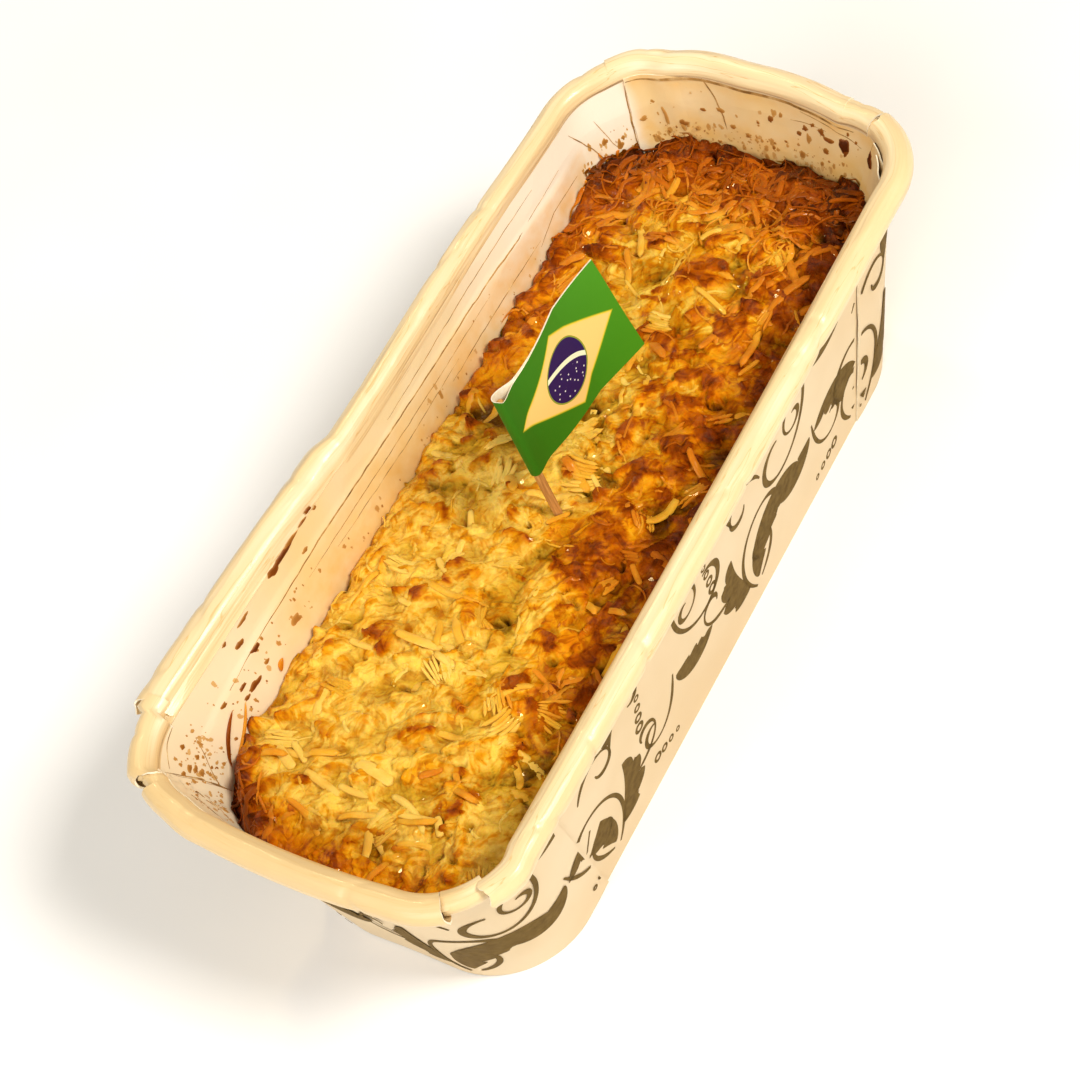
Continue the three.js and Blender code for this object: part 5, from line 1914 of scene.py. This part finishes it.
def flag_print():
    """Offset print on smooth paper: flat fields of yellow and violet and a green that darkens towards the
    pick as painted shade, with a slight sheen.
    """
    material, tree, shader = new_material("offset_printed_paper")
    settings = bpy.context.scene.party_flag
    surface = add_node(tree, "ShaderNodeUVMap", uv_map="UVMap").outputs[0]
    place = add_node(tree, "ShaderNodeVectorMath", {0: surface, 1: (FLAG_LENGTH, FLAG_HEIGHT, 0.0)},
                     operation="MULTIPLY").outputs[0]
    # Painted shade: the green darkens from the free end towards the pick.
    green = add_node(tree, "ShaderNodeValToRGB", {
        0: add_node(tree, "ShaderNodeSeparateXYZ", {0: surface}).outputs[0],
    }, stops=[(0.0, settings.green_shaded_near_pick), (1.0, settings.green)]).outputs[0]
    field = flag_fields(tree, surface, place)
    band = add_node(tree, "ShaderNodeMath", {0: field["band"], 1: field["under_band"]},
                    operation="SUBTRACT").outputs[0]
    band = add_node(tree, "ShaderNodeMath", {0: band, 1: field["disc"]}, operation="MULTIPLY").outputs[0]
    cells = add_node(tree, "ShaderNodeTexVoronoi", {"Vector": place, "Scale": 0.66}, voronoi_dimensions="2D")
    stars = add_node(tree, "ShaderNodeMath", {0: cells.outputs["Distance"], 1: 0.11},
                     operation="LESS_THAN").outputs[0]
    for name in ("starry", "low"):
        stars = add_node(tree, "ShaderNodeMath", {0: stars, 1: field[name]}, operation="MULTIPLY").outputs[0]
    colour = overlaid(tree, green, [
        (field["rhombus_rim"], linear("#e6c92a")), (field["rhombus"], settings.yellow),
        (field["disc_rim"], linear("#8f9a2c")), (field["disc"], settings.violet),
        (stars, linear("#f4efe6")), (band, linear("#eef0c8")),
    ])
    set_inputs(tree, shader, Base_Color=colour, Roughness=0.6, IOR=1.35)
    bumped(tree, shader, [(object_noise(tree, 0.4), 0.01)])
    return material


def pale_card():
    """Matt pale card, barely uneven."""
    return mottled("pale_card", (60.0,), [(0.3, "#f8f7f5"), (0.7, "#f4f3f0")], Roughness=0.9)


def area_light(name, position, size, power, colour):
    """A square light that looks at the middle of the cake."""
    bpy.ops.object.light_add(type="AREA", location=position)
    lamp = bpy.context.active_object
    lamp.name = name
    lamp.data.size = size
    lamp.data.energy = power
    lamp.data.color = linear(colour)[:3]
    aim = Vector(position) - Vector((0, 0, 0.03))
    lamp.rotation_euler = aim.to_track_quat("Z", "Y").to_euler()


def stage_camera():
    """The camera, where the photo's one was: its right, up and back directions and its place."""
    bpy.ops.object.camera_add()
    camera = bpy.context.active_object
    camera.name = "camera"
    camera.data.sensor_width = 36.0
    camera.data.lens = 97.9
    camera.data.clip_start = 0.01
    axes = Matrix(((0.84009, 0.46541, -0.27865), (-0.26672, 0.80171, 0.53491), (0.47235, -0.37505, 0.79764)))
    place = Matrix.Translation((0.251122, -0.208035, 0.459706))
    camera.matrix_world = place @ axes.transposed().to_4x4()
    return camera


def build_stage():
    """The floor, the light all round, three lamps and the camera."""
    scene = bpy.context.scene
    settings = scene.cake_stage
    bpy.ops.object.select_all(action="DESELECT")
    bpy.ops.mesh.primitive_plane_add(size=6.0, location=(0.0, 0.0, 0.0))
    floor = bpy.context.active_object
    floor.name = "floor"
    floor.data.materials.append(pale_card())
    world = bpy.data.worlds.new("soft_surround")
    world.use_nodes = True
    background = world.node_tree.nodes["Background"]
    background.inputs[0].default_value = linear("#fffdf8")
    background.inputs[1].default_value = settings.surround
    scene.world = world
    area_light("key", (1.07, 0.22, 1.31), 0.42, settings.key_power, "#fffaf2")
    area_light("gleam", (-0.77, 0.63, 1.38), 0.11, settings.gleam_power, "#ffe2a8")
    area_light("fill", (0.2, -1.3, 1.0), 1.2, settings.fill_power, "#ffffff")
    scene.camera = stage_camera()
    scene.view_settings.view_transform = "Standard"


def colour_setting(name, description, code):
    """A colour for the user to change, with an sRGB hex code as its default."""
    return bpy.props.FloatVectorProperty(
        name=name, description=description, subtype="COLOR", size=4, min=0.0, max=1.0, default=linear(code))


def size_setting(name, description, millimetres):
    """A size for the user to change."""
    return bpy.props.FloatProperty(
        name=name, description=description, default=millimetres * MM, min=0.0, precision=5, unit="LENGTH")


def power_setting(name, description, watts):
    """The power of a light, for the user to change."""
    return bpy.props.FloatProperty(name=name, description=description, default=watts, min=0.0, unit="POWER")


class LoafCaseSettings(bpy.types.PropertyGroup):
    """Colours and thickness of the paper case."""
    cream: colour_setting("Cream", "Coated inside of the board", "#efd8aa")
    cream_shade: colour_setting("Cream shade", "Slightly darker patches of the coated board", "#eed296")
    # Also the colour of the painted shade under the far roll.
    grease_and_shade: colour_setting("Grease", "Board that has soaked up grease", "#e8b252")
    ink: colour_setting("Ink", "Printed scrolls", "#5c4519")
    ink_thickness: size_setting("Ink thickness", "Thickness of the printed scrolls", 0.06)


class CakeTopSettings(bpy.types.PropertyGroup):
    """Colours and browning of the cake's top."""
    pale: colour_setting("Pale", "Batter that has hardly browned", "#f0cc62")
    golden: colour_setting("Golden", "Golden batter", "#e2a018")
    toasted: colour_setting("Toasted", "Toasted peaks", "#b25a03")
    browning: bpy.props.FloatProperty(
        name="Browning", description="Share by which all of the top is browner", subtype="FACTOR",
        default=0.0, min=-0.5, max=0.5)


class PartyFlagSettings(bpy.types.PropertyGroup):
    """Colours and sizes of the flag and its pick."""
    green: colour_setting("Green", "Field at the flag's free end", "#458c10")
    # Painted shade: the darker green beside the pick.
    green_shaded_near_pick: colour_setting("Green at the pick", "Field beside the pick", "#2f7008")
    yellow: colour_setting("Yellow", "Rhombus", "#ffcf78")
    violet: colour_setting("Violet", "Disc", "#2b1150")
    height: size_setting("Flag height", "Height of the flag along its pick", 22.6)
    pick_radius: size_setting("Pick radius", "Radius of the wooden pick", 0.85)


class CakeStageSettings(bpy.types.PropertyGroup):
    """Light of the stage."""
    key_power: power_setting("Key light", "Power of the main light", 23.0)
    gleam_power: power_setting("Gleam light", "Power of the small light that gives the glints", 3.5)
    fill_power: power_setting("Fill light", "Power of the fill light", 18.0)
    surround: bpy.props.FloatProperty(
        name="Surround", description="Strength of the light from all round", default=0.32, min=0.0)


def replace_node(node, *pieces):
    """Hides the CAD model's parts of a node, for the pieces that are shown in its place."""
    for piece in pieces:
        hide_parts(node)
    return {"FINISHED"}


class CAKE_OT_case_wall(bpy.types.Operator):
    """Build the folded wall and base of the paper case"""
    bl_idname = "cake.case_wall"
    bl_label = "Case wall"

    def execute(self, context):
        return replace_node("case", case_wall())


class CAKE_OT_case_rolls(bpy.types.Operator):
    """Build the rolled rim in its separate stretches"""
    bl_idname = "cake.case_rolls"
    bl_label = "Rolled rim"

    def execute(self, context):
        return replace_node("case", case_rolls())


class CAKE_OT_case_wraps(bpy.types.Operator):
    """Build the second paper layers that wrap the corners"""
    bl_idname = "cake.case_wraps"
    bl_label = "Corner wraps"

    def execute(self, context):
        return replace_node("case", case_wraps())


class CAKE_OT_case_linings(bpy.types.Operator):
    """Build the folded layers inside the case, with their fold lines and painted shadow lines"""
    bl_idname = "cake.case_linings"
    bl_label = "Inner layers"

    def execute(self, context):
        return replace_node("case", case_linings(), case_creases_and_shadow_lines())


class CAKE_OT_case_print(bpy.types.Operator):
    """Lay the scroll print on the outside of the case"""
    bl_idname = "cake.case_print"
    bl_label = "Scroll print"

    def execute(self, context):
        return replace_node("case", case_print())


class CAKE_OT_case_splashes(bpy.types.Operator):
    """Put the caramel splashes on the inner walls"""
    bl_idname = "cake.case_splashes"
    bl_label = "Splashes"

    def execute(self, context):
        return replace_node("case", case_splashes())


class CAKE_OT_crumb(bpy.types.Operator):
    """Build the cake's body with its fine relief"""
    bl_idname = "cake.crumb"
    bl_label = "Cake"

    def execute(self, context):
        return replace_node("cake", cake_crumb())


class CAKE_OT_shreds(bpy.types.Operator):
    """Scatter the coconut shreds and flakes over the cake"""
    bl_idname = "cake.shreds"
    bl_label = "Coconut shreds"

    def execute(self, context):
        return replace_node("cake", large_shreds(), single_shreds(), loose_shreds(), crust_shreds(),
                            shred_sheaves(), wall_shreds())


class CAKE_OT_pick(bpy.types.Operator):
    """Build the turned wooden pick"""
    bl_idname = "cake.pick"
    bl_label = "Pick"

    def execute(self, context):
        return replace_node("pick", wooden_pick())


class CAKE_OT_flag(bpy.types.Operator):
    """Build the printed paper flag"""
    bl_idname = "cake.flag"
    bl_label = "Flag"

    def execute(self, context):
        return replace_node("flag", paper_flag())


class CAKE_OT_stage(bpy.types.Operator):
    """Set up the floor, the light and the camera"""
    bl_idname = "cake.stage"
    bl_label = "Stage"

    def execute(self, context):
        build_stage()
        return {"FINISHED"}


OPERATORS = (
    CAKE_OT_case_wall, CAKE_OT_case_rolls, CAKE_OT_case_wraps, CAKE_OT_case_linings,
    CAKE_OT_case_print, CAKE_OT_case_splashes, CAKE_OT_crumb, CAKE_OT_shreds, CAKE_OT_pick,
    CAKE_OT_flag, CAKE_OT_stage,
)
SETTINGS = (
    ("loaf_case", LoafCaseSettings),
    ("cake_top", CakeTopSettings),
    ("party_flag", PartyFlagSettings),
    ("cake_stage", CakeStageSettings),
)


class CAKE_PT_panel(bpy.types.Panel):
    """Settings and steps of the cake"""
    bl_label = "Cassava coconut cake"
    bl_idname = "CAKE_PT_panel"
    bl_space_type = "VIEW_3D"
    bl_region_type = "UI"
    bl_category = "Cake"

    def draw(self, context):
        for name, group in SETTINGS:
            box = self.layout.box()
            for setting in group.__annotations__:
                box.prop(getattr(context.scene, name), setting)
        for operator in OPERATORS:
            self.layout.operator(operator.bl_idname)


def register():
    """Registers the settings, the operators and the panel."""
    for name, group in SETTINGS:
        bpy.utils.register_class(group)
        setattr(bpy.types.Scene, name, bpy.props.PointerProperty(type=group))
    for operator in OPERATORS:
        bpy.utils.register_class(operator)
    bpy.utils.register_class(CAKE_PT_panel)


def unregister():
    """Takes the panel, the operators and the settings away again."""
    bpy.utils.unregister_class(CAKE_PT_panel)
    for operator in reversed(OPERATORS):
        bpy.utils.unregister_class(operator)
    for name, group in reversed(SETTINGS):
        delattr(bpy.types.Scene, name)
        bpy.utils.unregister_class(group)


def main():
    """Builds everything in order."""
    register()
    bpy.ops.cake.case_wall()
    bpy.ops.cake.case_rolls()
    bpy.ops.cake.case_wraps()
    bpy.ops.cake.case_linings()
    bpy.ops.cake.case_print()
    bpy.ops.cake.case_splashes()
    bpy.ops.cake.crumb()
    bpy.ops.cake.shreds()
    bpy.ops.cake.pick()
    bpy.ops.cake.flag()
    bpy.ops.cake.stage()


if __name__ == "__main__":
    main()
